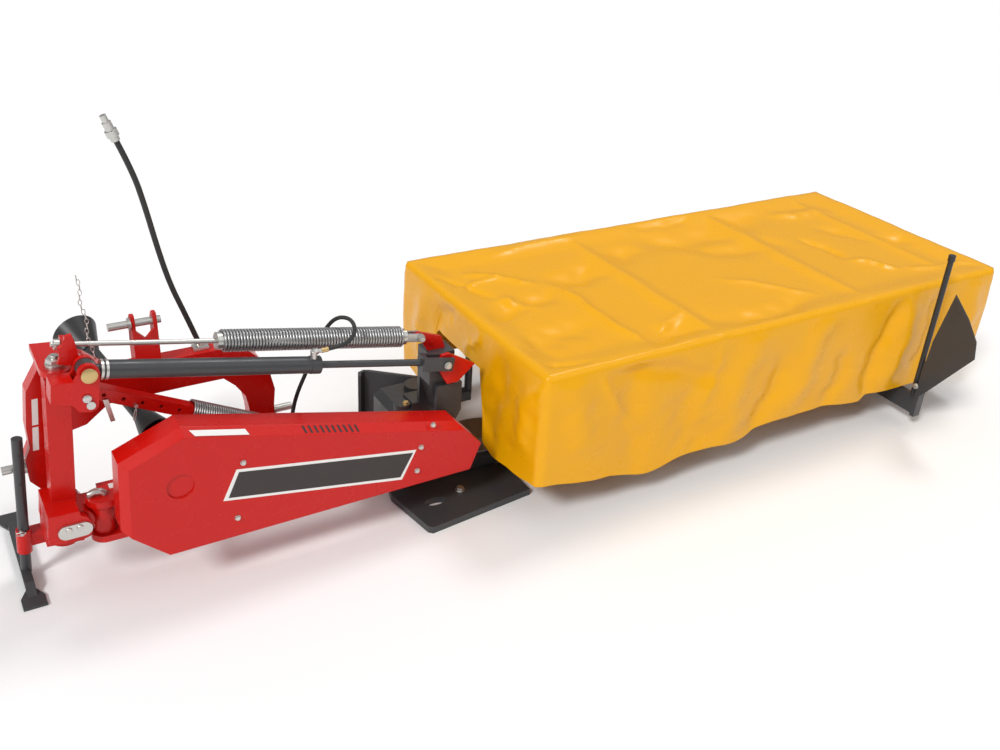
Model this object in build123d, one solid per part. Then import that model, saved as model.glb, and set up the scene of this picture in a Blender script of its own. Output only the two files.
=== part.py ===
from build123d import *
import math
import os

# Rear-mounted disc mower, in millimetres. While it is drawn, X runs outboard along the cutterbar,
# Y runs forward to the tractor, Z is up from the ground, and X = Y = 0 is midway between the lower
# hitch pins. The finished pieces are shifted so that the origin is under the middle of the machine.

# Three-point hitch
PIN_SPAN = 824.0
PIN_HEIGHT = 405.0
PIN_RADIUS = 14.0
PIN_LENGTH = 74.0
PIN_SEAT = 40.0
COLLAR_WIDTH = 10.0
LEG_BOTTOM = 150.0
MAST_HEIGHT = 450.0
TOP_PIN_RADIUS = 12.5
TOP_EAR_GAP = 56.0
TOP_EAR_THICKNESS = 12.0
TOP_PIN_Y = -30.0
BEAM_REAR = -35.0
BEAM_FRONT = 25.0
BEAM_TOP = 705.0
BEAM_LEFT = -300.0
BEAM_RIGHT = 240.0

# Swing axis of the cutterbar's release; it leans outboard with the hitch as the machine stands
LEAN = 5.5
KINGPIN_X = -351.0
KINGPIN_Y = -150.0
KINGPIN_RADIUS = 20.0
LUG_RADIUS = 44.0
UPPER_LUG_BOTTOM = 800.0
LOWER_LUG_TOP = 215.0
LUG_THICKNESS = 20.0
KINGPIN_DEPTH = 40.0

# Parking stand
STAND_X = -PIN_SPAN / 2 - 66.0
STAND_Y = -42.0
STAND_RADIUS = 17.0
STAND_TOP = 540.0
STAND_FOOT_REAR = -216.0
STAND_FOOT_FRONT = 340.0
STAND_FOOT_BAR = 30.0
STAND_PAD_WIDTH = 74.0
STAND_PAD_LENGTH = 95.0
STAND_PAD_THICKNESS = 9.0
STAND_WELD = 3.0
SLEEVE_BOTTOM = 110.0
SLEEVE_TOP = 195.0
SLEEVE_WALL = 7.0

# Swing frame
POST_SIZE = 72.0
POST_BOTTOM = 352.0
BOX_BOTTOM = 221.0
BOX_WALL = 12.0
BOX_REAR = -265.0
BOX_FRONT = -96.0
BOX_LEFT = -412.0
POST_TOP = 794.0
CHEEK_THICKNESS = 24.0
LOCK_THICKNESS = 8.0
LOCK_RADIUS = 25.0
EAR_REAR = -270.0
MID_EAR_REAR = -215.0
EAR_THICKNESS = 15.0
COLLAR_FRONT = -200.0
EAR_RADIUS = 32.0
LOWER_EAR_RADIUS = 24.0

# Lift hinge of the arm
LIFT_X = -300.0
LIFT_Z = 300.0
LIFT_PIN_RADIUS = 20.0
LIFT_EYE_RADIUS = 40.0
LIFT_EYE_REAR = -231.0
LIFT_EYE_FRONT = -125.0
KNUCKLE_X = -230.0
KNUCKLE_Y = -200.0
KNUCKLE_RADIUS = 46.0
KNUCKLE_BARREL = 33.0
KNUCKLE_TOP = 362.0
KNUCKLE_BOTTOM = 206.0
KNUCKLE_PLATE = 24.0

# Hinge of the cutterbar on the arm
TILT_X = 960.0
TILT_Z = 270.0
TILT_PIN_RADIUS = 25.0
TILT_EYE_RADIUS = 48.0
ARM_REAR = -190.0
ARM_FRONT = -130.0

# Lift cylinder, drawn from its base pin to its rod eye
CYL_BASE_X = -218.0
CYL_BASE_Z = 834.0
CYL_EYE_X = 985.0
CYL_EYE_Z = 587.0
CYL_Y = -235.0
CYL_RADIUS = 29.0
CYL_LENGTH = 742.0
CYL_BORE_START = 290.0
ROD_INSIDE = 30.0
CYL_PIN_RADIUS = 14.0
CYL_BASE_EYE_RADIUS = 30.0
CYL_BASE_EYE_WIDTH = 34.0
ROD_RADIUS = 12.5
CLEVIS_REACH = 80.0
CLEVIS_BASE = 18.0
CLEVIS_HEIGHT = 50.0
CLEVIS_WIDTH = 52.0
CLEVIS_GAP = 26.0

# Upper float spring, drawn from its rocker to its eye on the lever
UPPER_Y = -160.0
UPPER_ROD_X = -250.0
UPPER_ROD_Z = 890.0
UPPER_EYE_X = 920.0
UPPER_EYE_Z = 670.0
UPPER_ROD_RADIUS = 8.0
UPPER_COIL_RADIUS = 38.0
UPPER_COIL_WIRE = 9.0
UPPER_COIL_START = 462.0
UPPER_COIL_END_GAP = 72.0
FORK_SLOT = 18.0
ROCKER_REAR = -195.0
ROCKER_FRONT = -180.0
ROCKER_BOSS_RADIUS = 24.0

# Lower float spring, drawn from its pin on the swing frame to its pin on the arm
LOWER_Y = -160.0
LOWER_BASE_X = -225.0
LOWER_BASE_Z = 733.0
LOWER_END_X = 520.0
LOWER_END_Z = 358.0
LOWER_TUBE_SIZE = 42.0
LOWER_TUBE_LENGTH = 430.0
TUBE_HOLES = 6
TUBE_HOLE_START = 60.0
TUBE_HOLE_PITCH = 62.0
TUBE_HOLE_RADIUS = 6.5
LOWER_COIL_RADIUS = 32.0
LOWER_COIL_WIRE = 8.0
LOWER_PIN_RADIUS = 10.0
LOWER_EYE_BORE = 12.5
LOWER_EYE_RADIUS = 20.0
LOWER_EYE_THICKNESS = 14.0
LOWER_COIL_END_GAP = 60.0
ANCHOR_EAR = 8.0

# Lever plates on the cutterbar
LEVER_THICKNESS = 14.0

# Belt guard
GUARD_REAR = -378.0
GUARD_FRONT = -272.0
GUARD_CHAMFER = 26.0
DISH_DEPTH = 6.0
DISH_RADIUS = 44.0
SHAFT_X = 0.0
SHAFT_Z = 440.0
SHAFT_RADIUS = 22.0

# Driveline to the tractor
CROSS_Y = -40.0
CROSS_RADIUS = 9.0
DRIVE_START = (SHAFT_X, CROSS_Y, SHAFT_Z)
DRIVE_END = (-140.0, 490.0, 600.0)
DRIVE_TUBE_RADIUS = 30.0
DRIVE_NEAR_MOUTH = 8.0
DRIVE_CONE_RADIUS = 58.0
DRIVE_FAR_RADIUS = 82.0
SPLINE_RADIUS = 17.5
SPLINE_DEPTH = 80.0
SPLINE_INSET = 22.0

# Cutterbar, discs and shoes
BAR_Y = -55.0
BAR_LEFT = 860.0
BAR_RIGHT = 3320.0
BAR_WIDTH = 230.0
BAR_BOTTOM = 28.0
BAR_TOP = 88.0
DISC_COUNT = 6
DISC_FIRST_X = 1240.0
DISC_PITCH = 370.0
DISC_LONG_RADIUS = 178.0
DISC_SHORT_RADIUS = 118.0
DISC_BOTTOM = 98.0
DISC_HEIGHT = 34.0
DISC_THICKNESS = 8.0
KNIFE_REACH = 222.0
KNIFE_WIDTH = 42.0
KNIFE_THICKNESS = 4.0

# Gearbox and its bracket
GEARBOX_REAR = -120.0
GEARBOX_BOTTOM = 145.0
GEARBOX_TOP = 340.0
GEARBOX_LEFT = 850.0
GEARBOX_RIGHT = 1090.0
GEARBOX_FRONT = 80.0
NOSE_TOP = 310.0
SKID_HOLE_X = 934.0
SKID_HOLE_Y = -297.0
SKID_HOLE_LENGTH = 88.0
SKID_HOLE_WIDTH = 46.0
GEARBOX_CHAMFER = 26.0
UPRIGHT_LEFT = 946.0
UPRIGHT_RIGHT = 1046.0
UPRIGHT_TOP = 606.0
BRACKET_REAR = -200.0
CHEEK_REAR = -222.0

# Canopy
CANOPY_LEFT = 1180.0
CANOPY_RIGHT = 3580.0
CANOPY_REAR = -610.0
CANOPY_FRONT = 505.0
CANOPY_TOP = 660.0
CANOPY_HEM = 165.0
CANOPY_THICKNESS = 5.0
CANOPY_CORNER = 17.0
DOOR_REAR = -190.0
DOOR_FRONT = 190.0
DOOR_TOP = 490.0
FRAME_TUBE_RADIUS = 17.0
FRAME_BEND = 60.0
FRAME_CROSS_X = (1980.0, 2780.0)

# Swathboard at the outer end
SWATH_X = 3130.0
SWATH_Y = -672.0

# Hydraulic hose that stands at the hitch
HOSE_RADIUS = 9.0
HOSE_POINTS = [
    (176.0, 0.0, 730.0), (142.0, 0.0, 838.0), (104.0, 4.0, 952.0), (76.0, 0.0, 1085.0),
    (53.0, -4.0, 1220.0), (30.0, 0.0, 1335.0), (-8.0, 0.0, 1436.0),
]

CLEAR = 0.05


def plate(points, y0, y1):
    """Flat piece whose outline is given in X and Z, from y0 to y1."""
    edges = Polyline([(x, y0, z) for x, z in points], close=True)
    return extrude(make_face(edges), amount=y1 - y0, dir=(0, 1, 0))


def side_plate(points, x0, x1):
    """Flat piece whose outline is given in Y and Z, from x0 to x1."""
    edges = Polyline([(x0, y, z) for y, z in points], close=True)
    return extrude(make_face(edges), amount=x1 - x0, dir=(1, 0, 0))


def flat_plate(points, z0, z1):
    """Flat piece whose outline is given in X and Y, from z0 to z1."""
    edges = Polyline([(x, y, z0) for x, y in points], close=True)
    return extrude(make_face(edges), amount=z1 - z0, dir=(0, 0, 1))


def block(x0, x1, y0, y1, z0, z1):
    """Box between two corners."""
    middle = ((x0 + x1) / 2, (y0 + y1) / 2, (z0 + z1) / 2)
    return Pos(*middle) * Box(x1 - x0, y1 - y0, z1 - z0)


def rod(start, end, radius):
    """Round bar between two points."""
    along = Vector(*end) - Vector(*start)
    return extrude(Plane(origin=start, z_dir=along) * Circle(radius), amount=along.length)


def rod_y(x, z, y0, y1, radius):
    return rod((x, y0, z), (x, y1, z), radius)


def rod_x(y, z, x0, x1, radius):
    return rod((x0, y, z), (x1, y, z), radius)


def rod_z(x, y, z0, z1, radius):
    return rod((x, y, z0), (x, y, z1), radius)


def oriented(start, end):
    """Plane at start whose Z runs to end and whose Y is the world's Y."""
    along = (Vector(*end) - Vector(*start)).normalized()
    return Plane(origin=start, x_dir=Vector(0, 1, 0).cross(along), z_dir=along)


def bar_along(start, end, a, b, height, width):
    """Square bar from distance a to b on the line from start to end; width lies along Y."""
    section = oriented(start, end).offset(a) * Rectangle(height, width)
    return extrude(section, amount=b - a)


def rod_along(start, end, a, b, radius, bore=0.0):
    """Round bar, or a tube where a bore is given, from distance a to b on a line."""
    section = Circle(radius)
    if bore > 0:
        section -= Circle(bore)
    return extrude(oriented(start, end).offset(a) * section, amount=b - a)


def leaned(piece):
    """The piece turned about the foot of the swing axis, from upright to the axis's lean."""
    return Pos(KINGPIN_X, 0, LOWER_LUG_TOP) * Rot(0, LEAN, 0) * Pos(-KINGPIN_X, 0, -LOWER_LUG_TOP) * piece


CYL_BASE = (CYL_BASE_X, CYL_Y, CYL_BASE_Z)
CYL_EYE = (CYL_EYE_X, CYL_Y, CYL_EYE_Z)
CYL_REACH = math.hypot(CYL_EYE_X - CYL_BASE_X, CYL_EYE_Z - CYL_BASE_Z)
UPPER_ROD = (UPPER_ROD_X, UPPER_Y, UPPER_ROD_Z)
UPPER_EYE = (UPPER_EYE_X, UPPER_Y, UPPER_EYE_Z)
UPPER_REACH = math.hypot(UPPER_EYE_X - UPPER_ROD_X, UPPER_EYE_Z - UPPER_ROD_Z)
LOWER_BASE = (LOWER_BASE_X, LOWER_Y, LOWER_BASE_Z)
LOWER_END = (LOWER_END_X, LOWER_Y, LOWER_END_Z)
LOWER_REACH = math.hypot(LOWER_END_X - LOWER_BASE_X, LOWER_END_Z - LOWER_BASE_Z)


def hitch_beam():
    """Box beam across the top of the hitch, deepest at its left end."""
    top = UPPER_LUG_BOTTOM - 6
    outline = [
        (BEAM_LEFT, 512), (-215, 530), (-140, 588), (110, 592), (BEAM_RIGHT, 592), (BEAM_RIGHT, BEAM_TOP),
        (-120, BEAM_TOP), (-190, 770), (-235, top), (BEAM_LEFT, top),
    ]
    return plate(outline, BEAM_REAR, BEAM_FRONT)


def left_leg():
    """Left upright of the hitch with its pointed top, from the beam down to the lower swing lug."""
    top = UPPER_LUG_BOTTOM - 6
    shoulder = -PIN_SPAN / 2
    outline = [
        (BEAM_LEFT, 512), (BEAM_LEFT, top), (-318, top), (-336, 752), (-376, 688), (-394, 560),
        (-394, 488), (shoulder, 450), (shoulder, 365), (-385, 330), (-380, 251), (-395, 196),
        (-395, LEG_BOTTOM), (-330, LEG_BOTTOM), (-322, 300), (-312, 480),
    ]
    leg = plate(outline, BEAM_REAR, BEAM_FRONT)
    return leg - rod_x(0, PIN_HEIGHT, shoulder - 1, shoulder + PIN_SEAT, PIN_RADIUS + CLEAR)


def right_leg():
    """Right upright of the hitch, curving down from the beam to its pin, with a stiffening plate."""
    shoulder = PIN_SPAN / 2
    outline = [
        (BEAM_RIGHT, 592), (278, 556), (312, 505), (322, 450), (326, 365), (shoulder, 365),
        (shoulder, 450), (418, 510), (405, 570), (372, 640), (330, 682), (280, BEAM_TOP),
        (BEAM_RIGHT, BEAM_TOP),
    ]
    leg = plate(outline, BEAM_REAR, BEAM_FRONT)
    return leg - rod_x(0, PIN_HEIGHT, shoulder - PIN_SEAT, shoulder + 1, PIN_RADIUS + CLEAR)


def lower_link_pins():
    """Pins for the tractor's lower links, each with a collar at the leg."""
    pins = []
    for side in (-1, 1):
        shoulder = side * PIN_SPAN / 2
        inner = shoulder - side * (PIN_SEAT - 1)
        outer = shoulder + side * PIN_LENGTH
        pin = rod((inner, 0, PIN_HEIGHT), (outer, 0, PIN_HEIGHT), PIN_RADIUS)
        collar_end = shoulder + side * COLLAR_WIDTH
        pin += rod((shoulder, 0, PIN_HEIGHT), (collar_end, 0, PIN_HEIGHT), PIN_RADIUS + 10)
        pins.append(pin)
    return Compound(children=pins)


def swing_lugs():
    """Plates that hold the swing axis, above and below the swing frame."""
    left = KINGPIN_X - LUG_RADIUS
    right = KINGPIN_X + LUG_RADIUS
    upper = flat_plate(
        [(left, KINGPIN_Y), (right, KINGPIN_Y), (right, BEAM_REAR), (right + 36, BEAM_REAR),
         (right + 36, BEAM_FRONT), (left, BEAM_FRONT)],
        UPPER_LUG_BOTTOM, UPPER_LUG_BOTTOM + LUG_THICKNESS,
    )
    lower = flat_plate(
        [(left, KINGPIN_Y), (right, KINGPIN_Y), (right, BEAM_REAR), (left, BEAM_REAR)],
        LOWER_LUG_TOP - LUG_THICKNESS, LOWER_LUG_TOP,
    )
    lugs = []
    for lug, bottom in ((upper, UPPER_LUG_BOTTOM), (lower, LOWER_LUG_TOP - LUG_THICKNESS)):
        top = bottom + LUG_THICKNESS
        lug += rod_z(KINGPIN_X, KINGPIN_Y, bottom, top, LUG_RADIUS)
        lug -= rod_z(KINGPIN_X, KINGPIN_Y, bottom - 1, top + 1, KINGPIN_RADIUS + CLEAR)
        lugs.append(leaned(lug) - hitch_beam() - left_leg())
    return Compound(children=lugs)


def kingpins():
    """Headed pins of the swing axis, one from above and one from below."""
    top_face = UPPER_LUG_BOTTOM + LUG_THICKNESS
    low_face = LOWER_LUG_TOP - LUG_THICKNESS
    depth = BOX_BOTTOM + BOX_WALL
    upper = rod_z(KINGPIN_X, KINGPIN_Y, POST_TOP - KINGPIN_DEPTH, top_face, KINGPIN_RADIUS)
    upper += rod_z(KINGPIN_X, KINGPIN_Y, top_face, top_face + 14, KINGPIN_RADIUS + 8)
    lower = rod_z(KINGPIN_X, KINGPIN_Y, low_face, depth, KINGPIN_RADIUS)
    lower += rod_z(KINGPIN_X, KINGPIN_Y, low_face - 10, low_face, KINGPIN_RADIUS + 10)
    return Compound(children=[leaned(upper), leaned(lower)])


def top_link_bracket():
    """Channel with two raised ears for the tractor's top link, open towards the tractor."""
    pin_z = PIN_HEIGHT + MAST_HEIGHT
    half = TOP_EAR_GAP / 2
    rear = BEAM_REAR - TOP_EAR_THICKNESS
    bracket = plate(
        [(-half, BEAM_TOP), (half, BEAM_TOP), (half, pin_z - 22), (0, pin_z - 52), (-half, pin_z - 22)],
        rear, BEAM_REAR,
    )
    for side in (-1, 1):
        x0, x1 = sorted((side * half, side * (half + TOP_EAR_THICKNESS)))
        bracket += side_plate(
            [(rear, BEAM_TOP), (BEAM_FRONT, BEAM_TOP), (BEAM_FRONT, BEAM_TOP + 40),
             (TOP_PIN_Y + 30, pin_z + 6), (TOP_PIN_Y + 10, pin_z + 30), (TOP_PIN_Y - 12, pin_z + 30),
             (rear, pin_z - 10)],
            x0, x1,
        )
    end = half + TOP_EAR_THICKNESS + 1
    return bracket - rod_x(TOP_PIN_Y, pin_z, -end, end, TOP_PIN_RADIUS + CLEAR)


def top_link_pin():
    pin_z = PIN_HEIGHT + MAST_HEIGHT
    face = TOP_EAR_GAP / 2 + TOP_EAR_THICKNESS
    pin = rod_x(TOP_PIN_Y, pin_z, -face - 70, face + 14, TOP_PIN_RADIUS)
    return pin + rod_x(TOP_PIN_Y, pin_z, -face - 8, -face, TOP_PIN_RADIUS + 8)


def stand_sleeve():
    """Socket of the parking stand on a short arm from the left leg."""
    outer = STAND_RADIUS + SLEEVE_WALL
    sleeve = stood(rod_z(STAND_X, STAND_Y, SLEEVE_BOTTOM, SLEEVE_TOP, outer))
    middle = (SLEEVE_BOTTOM + SLEEVE_TOP) / 2
    arm = block(STAND_X, KINGPIN_X - LUG_RADIUS, STAND_Y - 10, BEAM_REAR + 30, middle - 24, middle + 24)
    sleeve += arm
    return sleeve - stood(rod_z(STAND_X, STAND_Y, 0, STAND_TOP, STAND_RADIUS + CLEAR))


def stood(piece):
    """The piece turned about the stand's foot to the lean of the hitch."""
    return Pos(STAND_X, 0, 0) * Rot(0, LEAN, 0) * Pos(-STAND_X, 0, 0) * piece


def stand_leg():
    """Round leg with a long foot whose ends are pressed flat and broad."""
    foot_middle = STAND_PAD_THICKNESS + STAND_FOOT_BAR / 2
    leg = stood(rod_z(STAND_X, STAND_Y, foot_middle, STAND_TOP, STAND_RADIUS))
    half = STAND_PAD_WIDTH / 2
    neck = STAND_FOOT_BAR / 2
    neck_rear = STAND_FOOT_REAR + STAND_PAD_LENGTH
    neck_front = STAND_FOOT_FRONT - STAND_PAD_LENGTH
    leg += block(STAND_X - neck, STAND_X + neck, neck_rear, neck_front, STAND_PAD_THICKNESS - STAND_WELD,
                 STAND_PAD_THICKNESS + STAND_FOOT_BAR)
    for end, neck_y, inward in ((STAND_FOOT_REAR, neck_rear, 1), (STAND_FOOT_FRONT, neck_front, -1)):
        shoulder = end + inward * STAND_PAD_LENGTH * 0.55
        leg += flat_plate(
            [(STAND_X - half, end), (STAND_X + half, end), (STAND_X + half, shoulder),
             (STAND_X + neck, neck_y), (STAND_X + neck, neck_y + inward * 30),
             (STAND_X - neck, neck_y + inward * 30), (STAND_X - neck, neck_y), (STAND_X - half, shoulder)],
            0, STAND_PAD_THICKNESS,
        )
        rise = [(shoulder, STAND_PAD_THICKNESS - 1), (neck_y + inward, STAND_PAD_THICKNESS - 1),
                (neck_y + inward, STAND_PAD_THICKNESS + STAND_FOOT_BAR)]
        leg += side_plate(rise, STAND_X - neck, STAND_X + neck)
    return leg


def swing_frame():
    """Leaning post on the kingpins, with the box of the lift hinge and the cylinder's ears."""
    half = POST_SIZE / 2
    post_right = KINGPIN_X + half
    rear = KINGPIN_Y - half
    front = KINGPIN_Y + half
    upright = block(KINGPIN_X - half, post_right, rear, front, POST_BOTTOM, POST_TOP)
    upright += block(BOX_LEFT + BOX_WALL, -318, BOX_REAR, BOX_FRONT, POST_BOTTOM, POST_BOTTOM + BOX_WALL)
    upright += block(BOX_LEFT, BOX_LEFT + BOX_WALL, BOX_REAR, BOX_FRONT, 262, POST_BOTTOM + BOX_WALL)
    upright += block(BOX_LEFT, -300, -215, BOX_FRONT, BOX_BOTTOM, BOX_BOTTOM + BOX_WALL)
    upright += block(BOX_LEFT, BOX_LEFT + BOX_WALL, -215, BOX_FRONT, BOX_BOTTOM, 264)
    top_bore = rod_z(KINGPIN_X, KINGPIN_Y, POST_TOP - KINGPIN_DEPTH - 1, POST_TOP + 1, KINGPIN_RADIUS + CLEAR)
    low_bore = rod_z(KINGPIN_X, KINGPIN_Y, BOX_BOTTOM - 1, BOX_BOTTOM + BOX_WALL + 1, KINGPIN_RADIUS + CLEAR)
    frame = leaned(upright - top_bore - low_bore)
    cheek = [(-396, 366), (-408, 290), (-402, 268), (-388, 260), (-300, 258), (-282, 264), (-275, 284),
             (-275, 316), (-286, 336), (-306, 350), (-306, 366)]
    for y0, y1 in ((BOX_REAR, BOX_REAR + CHEEK_THICKNESS), (BOX_FRONT - CHEEK_THICKNESS, BOX_FRONT)):
        frame += plate(cheek, y0, y1)
    frame += block(-402, -330, BOX_FRONT - CHEEK_THICKNESS, BOX_FRONT, BOX_BOTTOM + 4, 262)
    collar = [(-334, 760), (-325, 822), (-262, 818), (-262, 740)]
    frame += plate(collar, EAR_REAR, COLLAR_FRONT)
    frame += block(-330, -262, COLLAR_FRONT - 1, rear + 1, 740, 784)
    ear = [(-334, 760), (-325, 822), (-262, 818), (CYL_BASE_X - EAR_RADIUS, CYL_BASE_Z),
           (CYL_BASE_X + EAR_RADIUS, CYL_BASE_Z), (LOWER_BASE_X + LOWER_EAR_RADIUS, LOWER_BASE_Z),
           (LOWER_BASE_X - 6, LOWER_BASE_Z - LOWER_EAR_RADIUS), (-260, 716), (-275, 742)]
    for y0 in (EAR_REAR, MID_EAR_REAR):
        frame += plate(ear, y0, y0 + EAR_THICKNESS)
        frame += rod_y(CYL_BASE_X, CYL_BASE_Z, y0, y0 + EAR_THICKNESS, EAR_RADIUS)
        frame += rod_y(LOWER_BASE_X, LOWER_BASE_Z, y0, y0 + EAR_THICKNESS, LOWER_EAR_RADIUS)
    low_y = LOWER_Y + LOWER_TUBE_SIZE / 2 + 6
    low_ear = [(-300, 690), (LOWER_BASE_X, LOWER_BASE_Z - 26), (LOWER_BASE_X, LOWER_BASE_Z + 26), (-280, 752)]
    frame += plate(low_ear, low_y, low_y + EAR_THICKNESS)
    frame += rod_y(LOWER_BASE_X, LOWER_BASE_Z, low_y, low_y + EAR_THICKNESS, LOWER_EAR_RADIUS)
    frame -= rod_y(LIFT_X, LIFT_Z, BOX_REAR - 1, BOX_FRONT + 1, LIFT_PIN_RADIUS + CLEAR)
    frame -= rod_y(CYL_BASE_X, CYL_BASE_Z, EAR_REAR - 1, MID_EAR_REAR + 16, CYL_PIN_RADIUS + CLEAR)
    return frame - rod_y(LOWER_BASE_X, LOWER_BASE_Z, EAR_REAR - 1, low_y + 16, LOWER_PIN_RADIUS + CLEAR)


def lift_pin():
    """Pin of the lift hinge with its long rounded lock plate."""
    pin = rod_y(LIFT_X, LIFT_Z, BOX_REAR, BOX_FRONT, LIFT_PIN_RADIUS)
    pin += rod_y(LIFT_X, LIFT_Z, BOX_FRONT, BOX_FRONT + 5, LIFT_PIN_RADIUS + 8)
    left = LIFT_X - 53
    face = BOX_REAR - LOCK_THICKNESS
    for x in (left, LIFT_X):
        pin += rod_y(x, LIFT_Z, face, BOX_REAR, LOCK_RADIUS)
    return pin + block(left, LIFT_X, face, BOX_REAR, LIFT_Z - LOCK_RADIUS, LIFT_Z + LOCK_RADIUS)


def head_pins():
    """Pin of the lift cylinder and pin of the lower spring."""
    base = rod_y(CYL_BASE_X, CYL_BASE_Z, EAR_REAR - 5, ROCKER_FRONT + 8, CYL_PIN_RADIUS)
    base += rod_y(CYL_BASE_X, CYL_BASE_Z, EAR_REAR - 8, EAR_REAR, 20)
    base += rod_y(CYL_BASE_X, CYL_BASE_Z, ROCKER_FRONT + 1, ROCKER_FRONT + 8, 20)
    front = LOWER_Y + LOWER_TUBE_SIZE / 2 + 6 + EAR_THICKNESS
    low = rod_y(LOWER_BASE_X, LOWER_BASE_Z, EAR_REAR - 4, front + 7, LOWER_PIN_RADIUS)
    low += rod_y(LOWER_BASE_X, LOWER_BASE_Z, EAR_REAR - 7, EAR_REAR, 13)
    low += rod_y(LOWER_BASE_X, LOWER_BASE_Z, front + 1, front + 7, 16)
    return Compound(children=[base, low])


def spring_rocker():
    """Star-shaped plate on the cylinder's base pin with the block that the spring rod slides through."""
    outline = [
        (CYL_BASE_X - 28, CYL_BASE_Z), (CYL_BASE_X + 20, CYL_BASE_Z), (-228, 866), (-232, 908), (-238, 934),
        (-258, 930), (-266, 906), (-282, 896), (-280, 868), (-290, 846), (-262, 838),
    ]
    rocker = plate(outline, ROCKER_REAR, ROCKER_FRONT)
    rocker += rod_y(CYL_BASE_X, CYL_BASE_Z, ROCKER_REAR, ROCKER_FRONT, ROCKER_BOSS_RADIUS)
    rocker += bar_along(UPPER_ROD, UPPER_EYE, -20, 16, 38, 50)
    rocker -= rod_y(CYL_BASE_X, CYL_BASE_Z, ROCKER_REAR - 1, ROCKER_FRONT + 1, CYL_PIN_RADIUS + CLEAR)
    return rocker - rod_along(UPPER_ROD, UPPER_EYE, -60, 60, UPPER_ROD_RADIUS + CLEAR)


def cylinder_barrel():
    """Barrel with a base eye and a gland, bored for the rod."""
    barrel = rod_along(CYL_BASE, CYL_EYE, 42, CYL_LENGTH, CYL_RADIUS)
    barrel += rod_along(CYL_BASE, CYL_EYE, 10, 44, 17)
    barrel += rod_along(CYL_BASE, CYL_EYE, CYL_LENGTH - 34, CYL_LENGTH, CYL_RADIUS + 2)
    barrel += rod_y(
        CYL_BASE_X, CYL_BASE_Z, CYL_Y - CYL_BASE_EYE_WIDTH / 2, CYL_Y + CYL_BASE_EYE_WIDTH / 2,
        CYL_BASE_EYE_RADIUS,
    )
    barrel -= rod_along(CYL_BASE, CYL_EYE, CYL_BORE_START, CYL_LENGTH + 1, ROD_RADIUS + CLEAR)
    return barrel - rod_y(CYL_BASE_X, CYL_BASE_Z, -300, -60, CYL_PIN_RADIUS + CLEAR)


def cylinder_rod():
    """Rod with its fork; the fork's pin shows as a stub on each outer face."""
    slot_end = CYL_REACH - CLEVIS_REACH
    piece = rod_along(CYL_BASE, CYL_EYE, CYL_LENGTH - ROD_INSIDE, slot_end, ROD_RADIUS)
    piece += bar_along(
        CYL_BASE, CYL_EYE, slot_end - CLEVIS_BASE, CYL_REACH + 26, CLEVIS_HEIGHT, CLEVIS_WIDTH
    )
    piece -= bar_along(CYL_BASE, CYL_EYE, slot_end, CYL_REACH + 30, CLEVIS_HEIGHT + 10, CLEVIS_GAP)
    half = CLEVIS_WIDTH / 2
    for y0, y1 in ((CYL_Y - half - 3, CYL_Y - half), (CYL_Y + half, CYL_Y + half + 3)):
        piece += rod_y(CYL_EYE_X, CYL_EYE_Z, y0, y1, 13)
    return piece


def upper_spring_rod():
    """Long rod with its nut and the plug that is screwed into the coil."""
    piece = rod_along(UPPER_ROD, UPPER_EYE, -46, UPPER_COIL_START + 4, UPPER_ROD_RADIUS)
    piece += rod_along(UPPER_ROD, UPPER_EYE, -38, -22.3, 16)
    plug = UPPER_COIL_RADIUS - UPPER_COIL_WIRE - 0.3
    return piece + rod_along(UPPER_ROD, UPPER_EYE, UPPER_COIL_START - 14, UPPER_COIL_START + 30, plug)


def upper_spring_coil():
    end = UPPER_REACH - UPPER_COIL_END_GAP
    bore = UPPER_COIL_RADIUS - UPPER_COIL_WIRE
    return rod_along(UPPER_ROD, UPPER_EYE, UPPER_COIL_START, end, UPPER_COIL_RADIUS, bore)


def upper_spring_fork():
    """Plug at the lever end with two strips that pass either side of the lever plate."""
    end = UPPER_REACH - UPPER_COIL_END_GAP
    plug = UPPER_COIL_RADIUS - UPPER_COIL_WIRE - 0.3
    piece = rod_along(UPPER_ROD, UPPER_EYE, end - 30, end + 12, plug)
    piece -= bar_along(UPPER_ROD, UPPER_EYE, end - 14, end + 13, 2 * plug + 2, FORK_SLOT)
    for y0, y1 in ((UPPER_Y - 16, UPPER_Y - 9), (UPPER_Y + 9, UPPER_Y + 16)):
        middle = (y0 + y1) / 2
        start = (UPPER_ROD_X, middle, UPPER_ROD_Z)
        finish = (UPPER_EYE_X, middle, UPPER_EYE_Z)
        piece += bar_along(start, finish, end + 11, UPPER_REACH, 30, y1 - y0)
        piece += rod_y(UPPER_EYE_X, UPPER_EYE_Z, y0, y1, 15)
    piece += rod_y(UPPER_EYE_X, UPPER_EYE_Z, UPPER_Y - 24, UPPER_Y - 16, 11)
    return piece + rod_y(UPPER_EYE_X, UPPER_EYE_Z, UPPER_Y + 16, UPPER_Y + 22, 11)


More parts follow.
